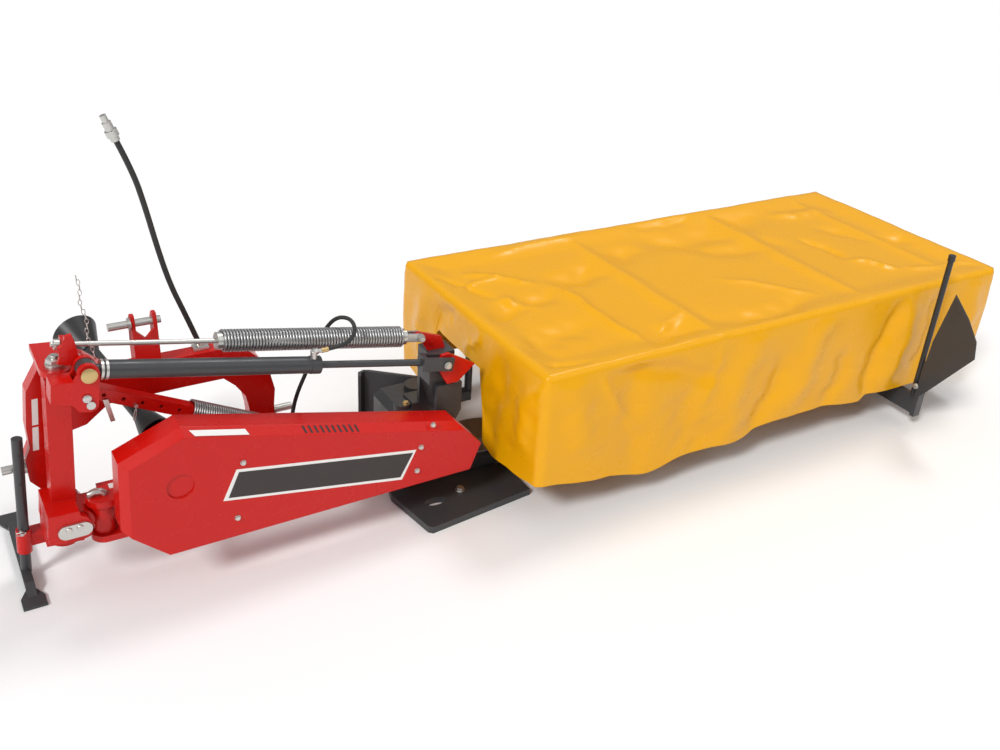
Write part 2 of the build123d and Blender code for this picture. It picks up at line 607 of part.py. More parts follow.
def lower_spring_tube():
    """Square adjusting tube with its row of holes and the plug at the coil."""
    size = LOWER_TUBE_SIZE
    tube = bar_along(LOWER_BASE, LOWER_END, -20, LOWER_TUBE_LENGTH, size, size)
    tube -= rod_y(LOWER_BASE_X, LOWER_BASE_Z, LOWER_Y - size, LOWER_Y + size, LOWER_PIN_RADIUS + CLEAR)
    slope = math.atan2(LOWER_END_Z - LOWER_BASE_Z, LOWER_END_X - LOWER_BASE_X)
    for i in range(TUBE_HOLES):
        along = TUBE_HOLE_START + i * TUBE_HOLE_PITCH
        x = LOWER_BASE_X + along * math.cos(slope)
        z = LOWER_BASE_Z + along * math.sin(slope)
        tube -= rod_y(x, z, LOWER_Y - size, LOWER_Y + size, TUBE_HOLE_RADIUS)
    plug = LOWER_COIL_RADIUS - LOWER_COIL_WIRE - 0.3
    return tube + rod_along(LOWER_BASE, LOWER_END, LOWER_TUBE_LENGTH, LOWER_TUBE_LENGTH + 30, plug)


def lower_spring_coil():
    start = LOWER_TUBE_LENGTH + 1
    end = LOWER_REACH - LOWER_COIL_END_GAP
    bore = LOWER_COIL_RADIUS - LOWER_COIL_WIRE
    return rod_along(LOWER_BASE, LOWER_END, start, end, LOWER_COIL_RADIUS, bore)


def lower_spring_eye():
    """Plug and flat eye at the arm's end of the lower spring."""
    end = LOWER_REACH - LOWER_COIL_END_GAP
    plug = LOWER_COIL_RADIUS - LOWER_COIL_WIRE - 0.3
    half = LOWER_EYE_THICKNESS / 2
    piece = rod_along(LOWER_BASE, LOWER_END, end - 24, end + 10, plug)
    piece += bar_along(LOWER_BASE, LOWER_END, end + 9, LOWER_REACH, 34, LOWER_EYE_THICKNESS)
    piece += rod_y(LOWER_END_X, LOWER_END_Z, LOWER_Y - half, LOWER_Y + half, LOWER_EYE_RADIUS)
    return piece - rod_y(LOWER_END_X, LOWER_END_Z, LOWER_Y - 20, LOWER_Y + 20, LOWER_EYE_BORE)


def arm_bar():
    """Straight box of the main arm between its two hinges."""
    outline = [(LIFT_X, LIFT_Z + 38), (TILT_X, TILT_Z + 46), (TILT_X, TILT_Z - 46), (LIFT_X, LIFT_Z - 38)]
    return plate(outline, ARM_REAR, ARM_FRONT)


def arm_beam():
    """Main arm with the eye of the lift hinge, the knuckle beside it and the cutterbar's hinge."""
    arm = arm_bar()
    arm += rod_y(LIFT_X, LIFT_Z, LIFT_EYE_REAR, LIFT_EYE_FRONT, LIFT_EYE_RADIUS)
    arm += rod_y(TILT_X, TILT_Z, ARM_REAR, ARM_FRONT, TILT_EYE_RADIUS)
    arm += rod_z(KNUCKLE_X, KNUCKLE_Y, KNUCKLE_BOTTOM, KNUCKLE_TOP, KNUCKLE_BARREL)
    for bottom in (KNUCKLE_BOTTOM, KNUCKLE_TOP - KNUCKLE_PLATE):
        top = bottom + KNUCKLE_PLATE
        arm += rod_z(KNUCKLE_X, KNUCKLE_Y, bottom, top, KNUCKLE_RADIUS)
        arm += block(KNUCKLE_X, KNUCKLE_X + 90, KNUCKLE_Y - KNUCKLE_RADIUS, ARM_FRONT, bottom, top)
    arm -= rod_y(LIFT_X, LIFT_Z, LIFT_EYE_REAR - 1, LIFT_EYE_FRONT + 1, LIFT_PIN_RADIUS + CLEAR)
    return arm - rod_y(TILT_X, TILT_Z, ARM_REAR - 1, ARM_FRONT + 1, TILT_PIN_RADIUS + CLEAR)


def spring_anchor():
    """Two ears on top of the arm with the pin of the lower spring's eye."""
    inner = LOWER_EYE_THICKNESS / 2 + 1
    outer = inner + ANCHOR_EAR
    pin = rod_y(LOWER_END_X, LOWER_END_Z, LOWER_Y - outer - 5, LOWER_Y + outer + 5, LOWER_PIN_RADIUS)
    outline = [(LOWER_END_X - 34, 300), (LOWER_END_X + 60, 300), (LOWER_END_X + 60, 330),
               (LOWER_END_X + 18, LOWER_END_Z + 10), (LOWER_END_X, LOWER_END_Z + 20),
               (LOWER_END_X - 18, LOWER_END_Z + 8)]
    for y0, y1 in ((LOWER_Y - outer, LOWER_Y - inner), (LOWER_Y + inner, LOWER_Y + outer)):
        pin += plate(outline, y0, y1)
    return pin - arm_bar()


def input_bearing():
    """Bearing housing of the upper pulley on its bracket."""
    housing = rod_y(SHAFT_X, SHAFT_Z, GUARD_FRONT, -150, 58)
    housing += plate(
        [(SHAFT_X - 90, 290), (SHAFT_X + 90, 290), (SHAFT_X + 52, SHAFT_Z), (SHAFT_X - 52, SHAFT_Z)],
        ARM_REAR - 20, ARM_REAR,
    )
    return housing - rod_y(SHAFT_X, SHAFT_Z, GUARD_FRONT - 1, -100, SHAFT_RADIUS + CLEAR)


def input_shaft():
    """Stub of the upper pulley's shaft with its yoke."""
    shaft = rod_y(SHAFT_X, SHAFT_Z, GUARD_FRONT + 2, -90, SHAFT_RADIUS)
    shaft += rod_y(SHAFT_X, SHAFT_Z, -142, -92, 30)
    shaft += block(SHAFT_X - 36, SHAFT_X + 36, -92, -78, SHAFT_Z - 22, SHAFT_Z + 22)
    for side in (-1, 1):
        x0, x1 = sorted((SHAFT_X + side * 25, SHAFT_X + side * 36))
        shaft += block(x0, x1, -79, CROSS_Y, SHAFT_Z - 18, SHAFT_Z + 18)
        shaft += rod_x(CROSS_Y, SHAFT_Z, x0, x1, 18)
    return shaft - rod_x(CROSS_Y, SHAFT_Z, SHAFT_X - 40, SHAFT_X + 40, CROSS_RADIUS + CLEAR)


def belt_guard():
    """Closed belt guard with chamfered top edge, tapering to the cutterbar."""
    outline = [(8, 640), (975, 406), (1072, 300), (1030, 196), (-72, 190), (-206, 316), (-188, 560)]
    guard = plate(outline, GUARD_REAR, GUARD_FRONT)
    guard = chamfer(guard.faces().sort_by(Axis.Y)[0].edges().sort_by(Axis.Z)[-3:], GUARD_CHAMFER)
    return guard - rod_y(SHAFT_X - 16, SHAFT_Z, GUARD_REAR - 1, GUARD_REAR + DISH_DEPTH, DISH_RADIUS)


def guard_spacers():
    """Distance tubes between the arm and the belt guard."""
    spacers = []
    for x, z in ((-150, 300), (330, 300), (850, 275)):
        spacers.append(rod_y(x, z, GUARD_FRONT, ARM_REAR, 20))
    return Compound(children=spacers)


def driveline():
    """Shielded shaft between the machine's yoke and the tractor, with its cross pin."""
    start = DRIVE_START
    end = DRIVE_END
    reach = (Vector(*end) - Vector(*start)).length
    shaft = rod_x(CROSS_Y, SHAFT_Z, SHAFT_X - 36, SHAFT_X + 36, CROSS_RADIUS)
    shaft += rod_x(CROSS_Y, SHAFT_Z, SHAFT_X - 19, SHAFT_X + 19, 17)
    shaft += rod_along(start, end, 10, reach - 110, 16)
    shaft += rod_along(start, end, 84, reach - 104, DRIVE_TUBE_RADIUS)
    base = oriented(start, end)
    for mouth, root in ((DRIVE_NEAR_MOUTH, 92), (reach, reach - 112)):
        inward = 1 if root > mouth else -1
        wide = DRIVE_CONE_RADIUS if inward > 0 else DRIVE_FAR_RADIUS
        wall = 5
        cone = loft([base.offset(mouth) * Circle(wide), base.offset(root) * Circle(DRIVE_TUBE_RADIUS + 4)])
        hollow = loft([
            base.offset(mouth - inward) * Circle(wide - wall),
            base.offset(root - inward * 14) * Circle(DRIVE_TUBE_RADIUS - 4),
        ])
        shaft += cone - hollow
    shaft += rod_along(start, end, reach - 108, reach - SPLINE_INSET, 27)
    mouth = reach - SPLINE_INSET
    return shaft - rod_along(start, end, mouth - SPLINE_DEPTH, mouth + 1, SPLINE_RADIUS)


def cutterbar():
    """Flat housing of the cutterbar's gear train."""
    half = BAR_WIDTH / 2
    section = [
        (BAR_Y - half, BAR_BOTTOM), (BAR_Y + half - 30, BAR_BOTTOM), (BAR_Y + half, BAR_BOTTOM + 22),
        (BAR_Y + half, BAR_TOP - 12), (BAR_Y + half - 14, BAR_TOP), (BAR_Y - half + 14, BAR_TOP),
        (BAR_Y - half, BAR_TOP - 12),
    ]
    return side_plate(section, BAR_LEFT, BAR_RIGHT)


def disc_centre(number):
    return DISC_FIRST_X + (number - 1) * DISC_PITCH


def disc(number):
    """Oval disc with its cap; neighbours stand a quarter turn apart."""
    x = disc_centre(number)
    plane = Plane(origin=(x, BAR_Y, DISC_BOTTOM))
    if number % 2 == 0:
        plane = plane.rotated((0, 0, 90))
    body = extrude(plane * Ellipse(DISC_LONG_RADIUS, DISC_SHORT_RADIUS), amount=DISC_THICKNESS)
    dome = extrude(
        plane.offset(DISC_THICKNESS) * Ellipse(DISC_LONG_RADIUS - 60, DISC_SHORT_RADIUS - 30),
        amount=DISC_HEIGHT - DISC_THICKNESS, taper=35,
    )
    hub = rod_z(x, BAR_Y, BAR_TOP + 0.5, DISC_BOTTOM, 60)
    return body + dome + hub


def knives(number):
    """Two flat knives under the ends of one disc."""
    x = disc_centre(number)
    pieces = []
    for side in (-1, 1):
        inner = side * (DISC_LONG_RADIUS - 40)
        outer = side * KNIFE_REACH
        low, high = sorted((inner, outer))
        half = KNIFE_WIDTH / 2
        if number % 2 == 0:
            knife = block(x - half, x + half, BAR_Y + low, BAR_Y + high,
                          DISC_BOTTOM - KNIFE_THICKNESS, DISC_BOTTOM)
        else:
            knife = block(x + low, x + high, BAR_Y - half, BAR_Y + half,
                          DISC_BOTTOM - KNIFE_THICKNESS, DISC_BOTTOM)
        pieces.append(knife)
    return Compound(children=pieces)


def gearbox():
    """Gearbox at the inner end of the cutterbar, with its narrow foot."""
    case = block(GEARBOX_LEFT, GEARBOX_RIGHT, GEARBOX_REAR, GEARBOX_FRONT, GEARBOX_BOTTOM, GEARBOX_TOP)
    case = chamfer(case.edges().filter_by(Axis.Y), GEARBOX_CHAMFER)
    case += block(880, 1005, GEARBOX_REAR, 60, BAR_TOP, GEARBOX_BOTTOM)
    case += block(920, 1058, GEARBOX_REAR, -36, GEARBOX_TOP, GEARBOX_TOP + 26)
    case += rod_z(896, -80, GEARBOX_TOP - 20, GEARBOX_TOP + 18, 34)
    case += rod_z(1000, 20, GEARBOX_TOP, GEARBOX_TOP + 22, 44)
    return case - rod_y(TILT_X, TILT_Z, GEARBOX_REAR - 1, -60, TILT_PIN_RADIUS + CLEAR)


def tilt_pin():
    """Hollow trunnion of the cutterbar's hinge."""
    pin = rod_y(TILT_X, TILT_Z, CHEEK_REAR - 8, -61, TILT_PIN_RADIUS)
    return pin + rod_y(TILT_X, TILT_Z, CHEEK_REAR - 8, CHEEK_REAR, TILT_PIN_RADIUS + 12)


def lever_bracket():
    """Welded bracket over the gearbox that carries the lever plates and the rear cheek."""
    outline = [(978, 366), (1072, 352), (1072, 420), (UPRIGHT_RIGHT, 470), (UPRIGHT_RIGHT, UPRIGHT_TOP),
               (UPRIGHT_LEFT, UPRIGHT_TOP), (UPRIGHT_LEFT, 480), (970, 402)]
    bracket = plate(outline, BRACKET_REAR, GEARBOX_REAR)
    bracket += block(UPRIGHT_LEFT, UPRIGHT_RIGHT, GEARBOX_REAR, GEARBOX_REAR + 18, GEARBOX_TOP + 26,
                     UPRIGHT_TOP)
    cheek = [(922, TILT_Z - 20), (1010, TILT_Z - 20), (1070, 360), (1070, 480), (966, 480), (966, 372),
             (TILT_X - 38, TILT_Z + 20)]
    bracket += plate(cheek, CHEEK_REAR, BRACKET_REAR)
    bracket += rod_y(TILT_X, TILT_Z, CHEEK_REAR, BRACKET_REAR, 44)
    return bracket - rod_y(TILT_X, TILT_Z, CHEEK_REAR - 1, GEARBOX_REAR - 1, TILT_PIN_RADIUS + CLEAR)


def cylinder_lever():
    """Plate that the cylinder's fork straddles, on a boss of the bracket."""
    half = LEVER_THICKNESS / 2
    outline = [(CYL_EYE_X - 25, CYL_EYE_Z), (CYL_EYE_X - 12, CYL_EYE_Z + 31),
               (CYL_EYE_X + 16, CYL_EYE_Z + 34), (1110, 556), (1040, 496), (996, 496), (972, 540)]
    lever = plate(outline, CYL_Y - half, CYL_Y + half)
    lever += rod_y(CYL_EYE_X, CYL_EYE_Z, CYL_Y - half, CYL_Y + half, 26)
    lever += block(1020, UPRIGHT_RIGHT - 2, CYL_Y + half, BRACKET_REAR, 500, 540)
    return lever


def spring_lever():
    """Plate that carries the upper spring's fork."""
    half = LEVER_THICKNESS / 2
    x = UPPER_EYE_X
    z = UPPER_EYE_Z
    outline = [(x - 15, z), (x - 13, z + 12), (x - 3, z + 18), (1008, 654), (1024, UPRIGHT_TOP),
               (954, UPRIGHT_TOP), (x + 4, z - 17), (x - 9, z - 13)]
    return plate(outline, UPPER_Y - half, UPPER_Y + half)


def inner_shoe():
    """Broad skid under the gearbox, with a drop of its rear edge and an oval hole."""
    outline = [
        (800, -190), (838, -425), (852, -439), (1300, -388), (1300, -180), (1175, -150), (1175, 262),
        (1120, 330), (900, 330), (868, 262), (845, 0),
    ]
    shoe = flat_plate(outline, 0, BAR_BOTTOM)
    hole = Plane(origin=(SKID_HOLE_X, SKID_HOLE_Y, -1)) * Ellipse(SKID_HOLE_LENGTH / 2, SKID_HOLE_WIDTH / 2)
    return shoe - extrude(hole, amount=BAR_BOTTOM + 2)


def nose_plate():
    """Dark upright plate in front of the gearbox, bent round at its tip on the skid."""
    outer = [(858, 250), (872, 282), (900, 292), (922, 282), (1092, 142), (1100, 142)]
    inner = [(1100, 130), (1086, 130), (914, 270), (900, 279), (882, 272), (870, 246)]
    return flat_plate(outer + inner, BAR_BOTTOM, NOSE_TOP)


def outer_shoe():
    """Skid and end plate at the outer end of the cutterbar."""
    wall = [(-210, 0), (150, 0), (215, 60), (215, 120), (150, 190), (-170, 190), (-210, 150)]
    shoe = side_plate(wall, BAR_RIGHT, BAR_RIGHT + 14)
    shoe += block(3200, BAR_RIGHT, -190, 70, 0, BAR_BOTTOM)
    shoe += block(BAR_RIGHT + 14, BAR_RIGHT + 60, -200, 140, 0, 12)
    return shoe


def swath_bracket():
    """Arm behind the outer shoe that carries the swathboard."""
    far = BAR_RIGHT + 14
    arm = block(BAR_RIGHT, far, -420, -210, 60, 150)
    arm += block(SWATH_X + 5, far, -420, -390, 60, 150)
    arm += block(SWATH_X + 5, SWATH_X + 25, -690, -390, 60, 150)
    return arm + block(SWATH_X - 14, SWATH_X + 25, -712, -690, 60, 330)


def swathboard():
    """Upright board that turns the swath inwards."""
    outline = [(-690, 150), (-722, 176), (-913, 450), (-899, 523), (-836, 602), (-750, 677), (-706, 439)]
    return side_plate(outline, SWATH_X - 18, SWATH_X - 14)


def swath_stick():
    """Round rod that rises from the swathboard's bracket."""
    rod_piece = rod_z(SWATH_X, SWATH_Y, 150, 795, 12)
    return rod_piece + rod_z(SWATH_X, SWATH_Y, 795, 820, 15)


def canopy_frame():
    """Bent tube frame under the canopy's top, with its stays to the cutterbar."""
    r = FRAME_TUBE_RADIUS
    gap = CANOPY_THICKNESS + 0.4
    z = CANOPY_TOP - gap - r
    left = CANOPY_LEFT + gap + r
    right = CANOPY_RIGHT - gap - r
    rear = CANOPY_REAR + gap + r
    front = CANOPY_FRONT - gap - r
    middle = (left + right) / 2
    corners = [(middle, rear, z), (right, rear, z), (right, front, z), (left, front, z),
               (left, rear, z), (middle, rear, z)]
    rail = FilletPolyline(corners[:-1] + [(middle - 1, rear, z)], radius=FRAME_BEND)
    frame = sweep(Plane(origin=corners[0], z_dir=(1, 0, 0)) * Circle(r), path=rail)
    frame += rod((middle - 2, rear, z), (middle + 1, rear, z), r)
    for x in FRAME_CROSS_X:
        frame += rod_y(x, z, rear, front, r - 3)
    for x in (left + FRAME_BEND + 20, right - FRAME_BEND - 20):
        for y in (rear, front):
            frame += rod_z(x, y, CANOPY_HEM + 22, z, r - 4)
    stay_z = GEARBOX_TOP - 40
    frame += block(1120, left + 5, -60, -20, stay_z - 20, stay_z + 20)
    frame += rod_z(left, -40, stay_z, z, r - 2)
    end_x = BAR_RIGHT + 34
    frame += rod_y(end_x, z, rear, front, r - 3)
    frame += rod_z(end_x, -40, 120, z, r - 1)
    frame += block(BAR_RIGHT + 14, end_x, -60, -20, 120, 160)
    return frame


def canopy_cover():
    """Fabric cover with a top, four walls and the opening for the gearbox."""
    t = CANOPY_THICKNESS
    shell = block(CANOPY_LEFT, CANOPY_RIGHT, CANOPY_REAR, CANOPY_FRONT, CANOPY_HEM, CANOPY_TOP)
    shell = fillet(shell.edges().filter_by(Axis.Z), CANOPY_CORNER)
    inside = block(CANOPY_LEFT + t, CANOPY_RIGHT - t, CANOPY_REAR + t, CANOPY_FRONT - t,
                   CANOPY_HEM - 1, CANOPY_TOP - t)
    inside = fillet(inside.edges().filter_by(Axis.Z), CANOPY_CORNER - t)
    shell -= inside
    return shell - block(CANOPY_LEFT - 5, CANOPY_LEFT + 45, DOOR_REAR, DOOR_FRONT, CANOPY_HEM - 1, DOOR_TOP)


def hose_path():
    """Route points and arc radii of the hose that stands at the hitch."""
    radii = []
    for i in range(1, len(HOSE_POINTS) - 1):
        before = Vector(*HOSE_POINTS[i]) - Vector(*HOSE_POINTS[i - 1])
        after = Vector(*HOSE_POINTS[i + 1]) - Vector(*HOSE_POINTS[i])
        turn = math.radians(before.get_angle(after))
        run = min(before.length, after.length)
        radii.append(0.45 * run / math.tan(turn / 2))
    return radii


def hose():
    radii = hose_path()
    print("hose arc radii", [round(radius) for radius in radii])
    route = FilletPolyline(HOSE_POINTS, radius=radii)
    first = Vector(*HOSE_POINTS[1]) - Vector(*HOSE_POINTS[0])
    tube = sweep(Plane(origin=HOSE_POINTS[0], z_dir=first) * Circle(HOSE_RADIUS), path=route)
    print("hose length", round(route.length), "volume ratio",
          round(tube.volume / (math.pi * HOSE_RADIUS ** 2 * route.length), 4))
    return tube


def hose_foot():
    """Fitting on the beam that the hose starts from."""
    first = Vector(*HOSE_POINTS[0])
    along = (Vector(*HOSE_POINTS[1]) - first).normalized()
    low = first - along * 20
    foot = rod(tuple(low), HOSE_POINTS[0], HOSE_RADIUS + 3)
    return foot + block(first.X - 22, first.X + 30, -18, 18, BEAM_TOP, BEAM_TOP + 12)


def hose_coupler():
    """Quick coupler on the hose's free end."""
    last = Vector(*HOSE_POINTS[-1])
    along = (last - Vector(*HOSE_POINTS[-2])).normalized()
    coupler = rod(HOSE_POINTS[-1], tuple(last + along * 60), 14)
    coupler += rod(tuple(last + along * 14), tuple(last + along * 34), 19)
    return coupler + rod(tuple(last + along * 60), tuple(last + along * 82), 10)


os.makedirs("parts", exist_ok=True)

PIECES = {
    "hitch_beam": hitch_beam(),
    "left_leg": left_leg(),
    "right_leg": right_leg(),
    "lower_link_pins": lower_link_pins(),
    "swing_lugs": swing_lugs(),
    "kingpins": kingpins(),
    "top_link_bracket": top_link_bracket(),
    "top_link_pin": top_link_pin(),
    "stand_sleeve": stand_sleeve(),
    "stand_leg": stand_leg(),
    "swing_frame": swing_frame(),
    "lift_pin": lift_pin(),
    "head_pins": head_pins(),
    "spring_rocker": spring_rocker(),
    "cylinder_barrel": cylinder_barrel(),
    "cylinder_rod": cylinder_rod(),
    "upper_spring_rod": upper_spring_rod(),
    "upper_spring_coil": upper_spring_coil(),
    "upper_spring_fork": upper_spring_fork(),
    "lower_spring_tube": lower_spring_tube(),
    "lower_spring_coil": lower_spring_coil(),
    "lower_spring_eye": lower_spring_eye(),
    "arm_beam": arm_beam(),
    "spring_anchor": spring_anchor(),
    "input_bearing": input_bearing(),
    "input_shaft": input_shaft(),
    "belt_guard": belt_guard(),
    "guard_spacers": guard_spacers(),
    "driveline": driveline(),
    "cutterbar": cutterbar(),
    "gearbox": gearbox(),
    "tilt_pin": tilt_pin(),
    "lever_bracket": lever_bracket(),
    "cylinder_lever": cylinder_lever(),
    "spring_lever": spring_lever(),
    "inner_shoe": inner_shoe(),
    "nose_plate": nose_plate(),
    "outer_shoe": outer_shoe(),
    "swath_bracket": swath_bracket(),
    "swathboard": swathboard(),
    "swath_stick": swath_stick(),
    "canopy_frame": canopy_frame(),
    "canopy_cover": canopy_cover(),
    "hose": hose(),
    "hose_foot": hose_foot(),
    "hose_coupler": hose_coupler(),
}
for number in range(1, DISC_COUNT + 1):
    PIECES[f"disc_{number}"] = disc(number)
    PIECES[f"knives_{number}"] = knives(number)

boxes = [piece.bounding_box() for name, piece in PIECES.items() if name != "hose"]
MIDDLE_X = (min(box.min.X for box in boxes) + max(box.max.X for box in boxes)) / 2
MIDDLE_Y = (min(box.min.Y for box in boxes) + max(box.max.Y for box in boxes)) / 2
SHIFT = Pos(-MIDDLE_X, -MIDDLE_Y, 0)
for name, piece in PIECES.items():
    export_step(SHIFT * piece, f"parts/{name}.step")
print("pieces", len(PIECES), "middle", MIDDLE_X, MIDDLE_Y)
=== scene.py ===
import math

import bpy
from mathutils import Matrix, Vector


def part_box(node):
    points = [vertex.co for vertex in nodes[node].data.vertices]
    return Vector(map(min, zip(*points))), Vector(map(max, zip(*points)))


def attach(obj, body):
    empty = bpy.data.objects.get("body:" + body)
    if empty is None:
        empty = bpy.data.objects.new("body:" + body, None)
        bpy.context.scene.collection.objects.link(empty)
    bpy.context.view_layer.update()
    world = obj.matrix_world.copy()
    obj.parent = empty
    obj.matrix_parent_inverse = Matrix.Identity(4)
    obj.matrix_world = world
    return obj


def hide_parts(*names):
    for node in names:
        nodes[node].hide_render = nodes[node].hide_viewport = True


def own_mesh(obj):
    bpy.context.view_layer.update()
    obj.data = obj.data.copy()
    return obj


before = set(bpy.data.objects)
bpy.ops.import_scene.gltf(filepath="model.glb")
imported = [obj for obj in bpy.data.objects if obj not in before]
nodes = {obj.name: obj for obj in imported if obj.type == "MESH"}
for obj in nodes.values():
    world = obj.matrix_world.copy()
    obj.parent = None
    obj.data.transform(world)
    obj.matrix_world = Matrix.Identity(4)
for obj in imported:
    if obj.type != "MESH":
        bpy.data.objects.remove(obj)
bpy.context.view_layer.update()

# The drawing frame of the solids is in millimetres, with X outboard, Y forward, Z up and zero between
# the hitch pins.
COVER_LEFT, COVER_RIGHT = 1180.0, 3580.0
COVER_REAR, COVER_FRONT = -610.0, 505.0
COVER_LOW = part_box("canopy_cover")[0]
ORIGIN_X = COVER_LEFT - COVER_LOW.x * 1000
ORIGIN_Y = COVER_REAR - COVER_LOW.y * 1000

REARWARD = Vector((0, -1, 0))
UPWARD = Vector((0, 0, 1))


def at(x, y, z):
    """Point in the row frame, in metres, from a place in the drawing frame."""
    return Vector(((x - ORIGIN_X) / 1000, (y - ORIGIN_Y) / 1000, z / 1000))


# Materials

# Fine grain, and the larger patches in which the roughness varies
BEVEL_SAMPLES = 4
GRAIN_DETAIL = 4
GRAIN_DEPTH = 0.002
PATCH_SCALE = 9
PATCH_DETAIL = 6
PATCH_LOW, PATCH_HIGH = 0.35, 0.7
LEAST_ROUGH = 0.05


def noise(tree, scale, detail):
    """Noise that fills the space of the object."""
    where = tree.nodes.new("ShaderNodeTexCoord")
    texture = tree.nodes.new("ShaderNodeTexNoise")
    texture.inputs["Scale"].default_value = scale
    texture.inputs["Detail"].default_value = detail
    tree.links.new(where.outputs["Object"], texture.inputs["Vector"])
    return texture.outputs["Fac"]


def material(
    name, color, rough, metal=0.0, bevel=0.0, grain=0.0, grain_scale=40.0, uneven=0.0, shine=0.5
):
    """Surface with an optional rounded look on its edges, fine grain and uneven roughness."""
    mat = bpy.data.materials.new(name)
    mat.use_nodes = True
    tree = mat.node_tree
    shader = tree.nodes["Principled BSDF"]
    shader.inputs["Base Color"].default_value = (*color, 1)
    shader.inputs["Roughness"].default_value = rough
    shader.inputs["Metallic"].default_value = metal
    shader.inputs["Specular IOR Level"].default_value = shine
    normal = None
    if bevel > 0:
        edge = tree.nodes.new("ShaderNodeBevel")
        edge.samples = BEVEL_SAMPLES
        edge.inputs["Radius"].default_value = bevel
        normal = edge.outputs["Normal"]
    if grain > 0:
        bump = tree.nodes.new("ShaderNodeBump")
        bump.inputs["Strength"].default_value = grain
        bump.inputs["Distance"].default_value = GRAIN_DEPTH
        tree.links.new(noise(tree, grain_scale, GRAIN_DETAIL), bump.inputs["Height"])
        if normal is not None:
            tree.links.new(normal, bump.inputs["Normal"])
        normal = bump.outputs["Normal"]
    if uneven > 0:
        ramp = tree.nodes.new("ShaderNodeMapRange")
        ramp.inputs["From Min"].default_value = PATCH_LOW
        ramp.inputs["From Max"].default_value = PATCH_HIGH
        ramp.inputs["To Min"].default_value = max(rough - uneven, LEAST_ROUGH)
        ramp.inputs["To Max"].default_value = rough + uneven
        tree.links.new(noise(tree, PATCH_SCALE, PATCH_DETAIL), ramp.inputs["Value"])
        tree.links.new(ramp.outputs["Result"], shader.inputs["Roughness"])
    if normal is not None:
        tree.links.new(normal, shader.inputs["Normal"])
    return mat


RED = material(
    "red_paint", (0.58, 0.006, 0.003), 0.28,
    bevel=0.0025, grain=0.012, grain_scale=90, uneven=0.04, shine=0.35,
)
BLACK = material(
    "black_paint", (0.045, 0.046, 0.049), 0.38, bevel=0.0025, grain=0.08, grain_scale=120, uneven=0.08
)
STEEL = material("zinc_steel", (0.60, 0.59, 0.56), 0.33, metal=0.9, bevel=0.001)
YELLOW_ZINC = material("yellow_zinc", (0.62, 0.45, 0.2), 0.35, metal=0.85)
SPRING = material("spring_steel", (0.42, 0.42, 0.42), 0.33, metal=0.85)
RUBBER = material("hose_rubber", (0.02, 0.02, 0.02), 0.55)
# Dark plastic of the driveline, input shaft and swath stick; the same material is also painted shade in the
# guard's vents and the stand's holes.
DARK_PLASTIC_AND_SHADE = material("plastic_and_painted_shade", (0.022, 0.022, 0.024), 0.42)
LABEL = material("blank_label", (0.86, 0.85, 0.82), 0.45)
DARK_PLATE = material("dark_plate", (0.03, 0.022, 0.02), 0.4)
DISC = material("disc_steel", (0.30, 0.29, 0.28), 0.4, metal=0.7, bevel=0.002)
FABRIC = material(
    "cover_fabric", (0.84, 0.395, 0.0), 0.30, grain=0.05, grain_scale=350, uneven=0.05, shine=0.32
)

PAINT = {
    RED: "hitch_beam left_leg right_leg swing_lugs top_link_bracket stand_sleeve spring_rocker "
         "lower_spring_tube arm_beam input_bearing guard_spacers cylinder_lever spring_lever swing_frame "
         "belt_guard",
    BLACK: "cylinder_barrel lever_bracket gearbox cutterbar inner_shoe nose_plate outer_shoe swath_bracket "
           "swathboard stand_leg canopy_frame cylinder_rod",
    STEEL: "lower_link_pins kingpins top_link_pin lift_pin head_pins upper_spring_rod upper_spring_fork "
           "lower_spring_eye spring_anchor tilt_pin hose_foot hose_coupler",
    SPRING: "upper_spring_coil lower_spring_coil",
    DARK_PLASTIC_AND_SHADE: "driveline input_shaft swath_stick",
    RUBBER: "hose",
    FABRIC: "canopy_cover",
    DISC: " ".join(f"disc_{i} knives_{i}" for i in range(1, 7)),
}
for mat, names in PAINT.items():
    for name in names.split():
        nodes[name].data.materials.clear()
        nodes[name].data.materials.append(mat)


# Mesh building

# Washers, heads and nuts, as multiples of the thread diameter, and the dome on top of a head
WASHER_RADIUS = 1.1
WASHER_HEIGHT = 0.18
HEAD_WIDTH = 1.7
HEAD_HEIGHT = 0.65
NUT_HEIGHT = 0.8
DOME_START, DOME_TOP = 0.82, 0.86


def square_to(axis):
    """Unit vector along an axis and two directions square to it."""
    axis = Vector(axis).normalized()
    side = axis.orthogonal().normalized()
    return axis, side, axis.cross(side)


def circle(middle, side, up, radius, count, turn=0.0):
    """Points of a circle in the plane of two directions."""
    return [
        middle + side * (radius * math.cos(turn + a)) + up * (radius * math.sin(turn + a))
        for a in (math.tau * k / count for k in range(count))
    ]


def mesh_object(name, verts, faces, mat):
    """Object of one smooth-shaded mesh and one material."""
    mesh = bpy.data.meshes.new(name)
    mesh.from_pydata([tuple(v) for v in verts], [], faces)
    mesh.validate()
    mesh.update()
    mesh.polygons.foreach_set("use_smooth", [True] * len(mesh.polygons))
    mesh.materials.append(mat)
    obj = bpy.data.objects.new(name, mesh)
    bpy.context.scene.collection.objects.link(obj)
    return obj


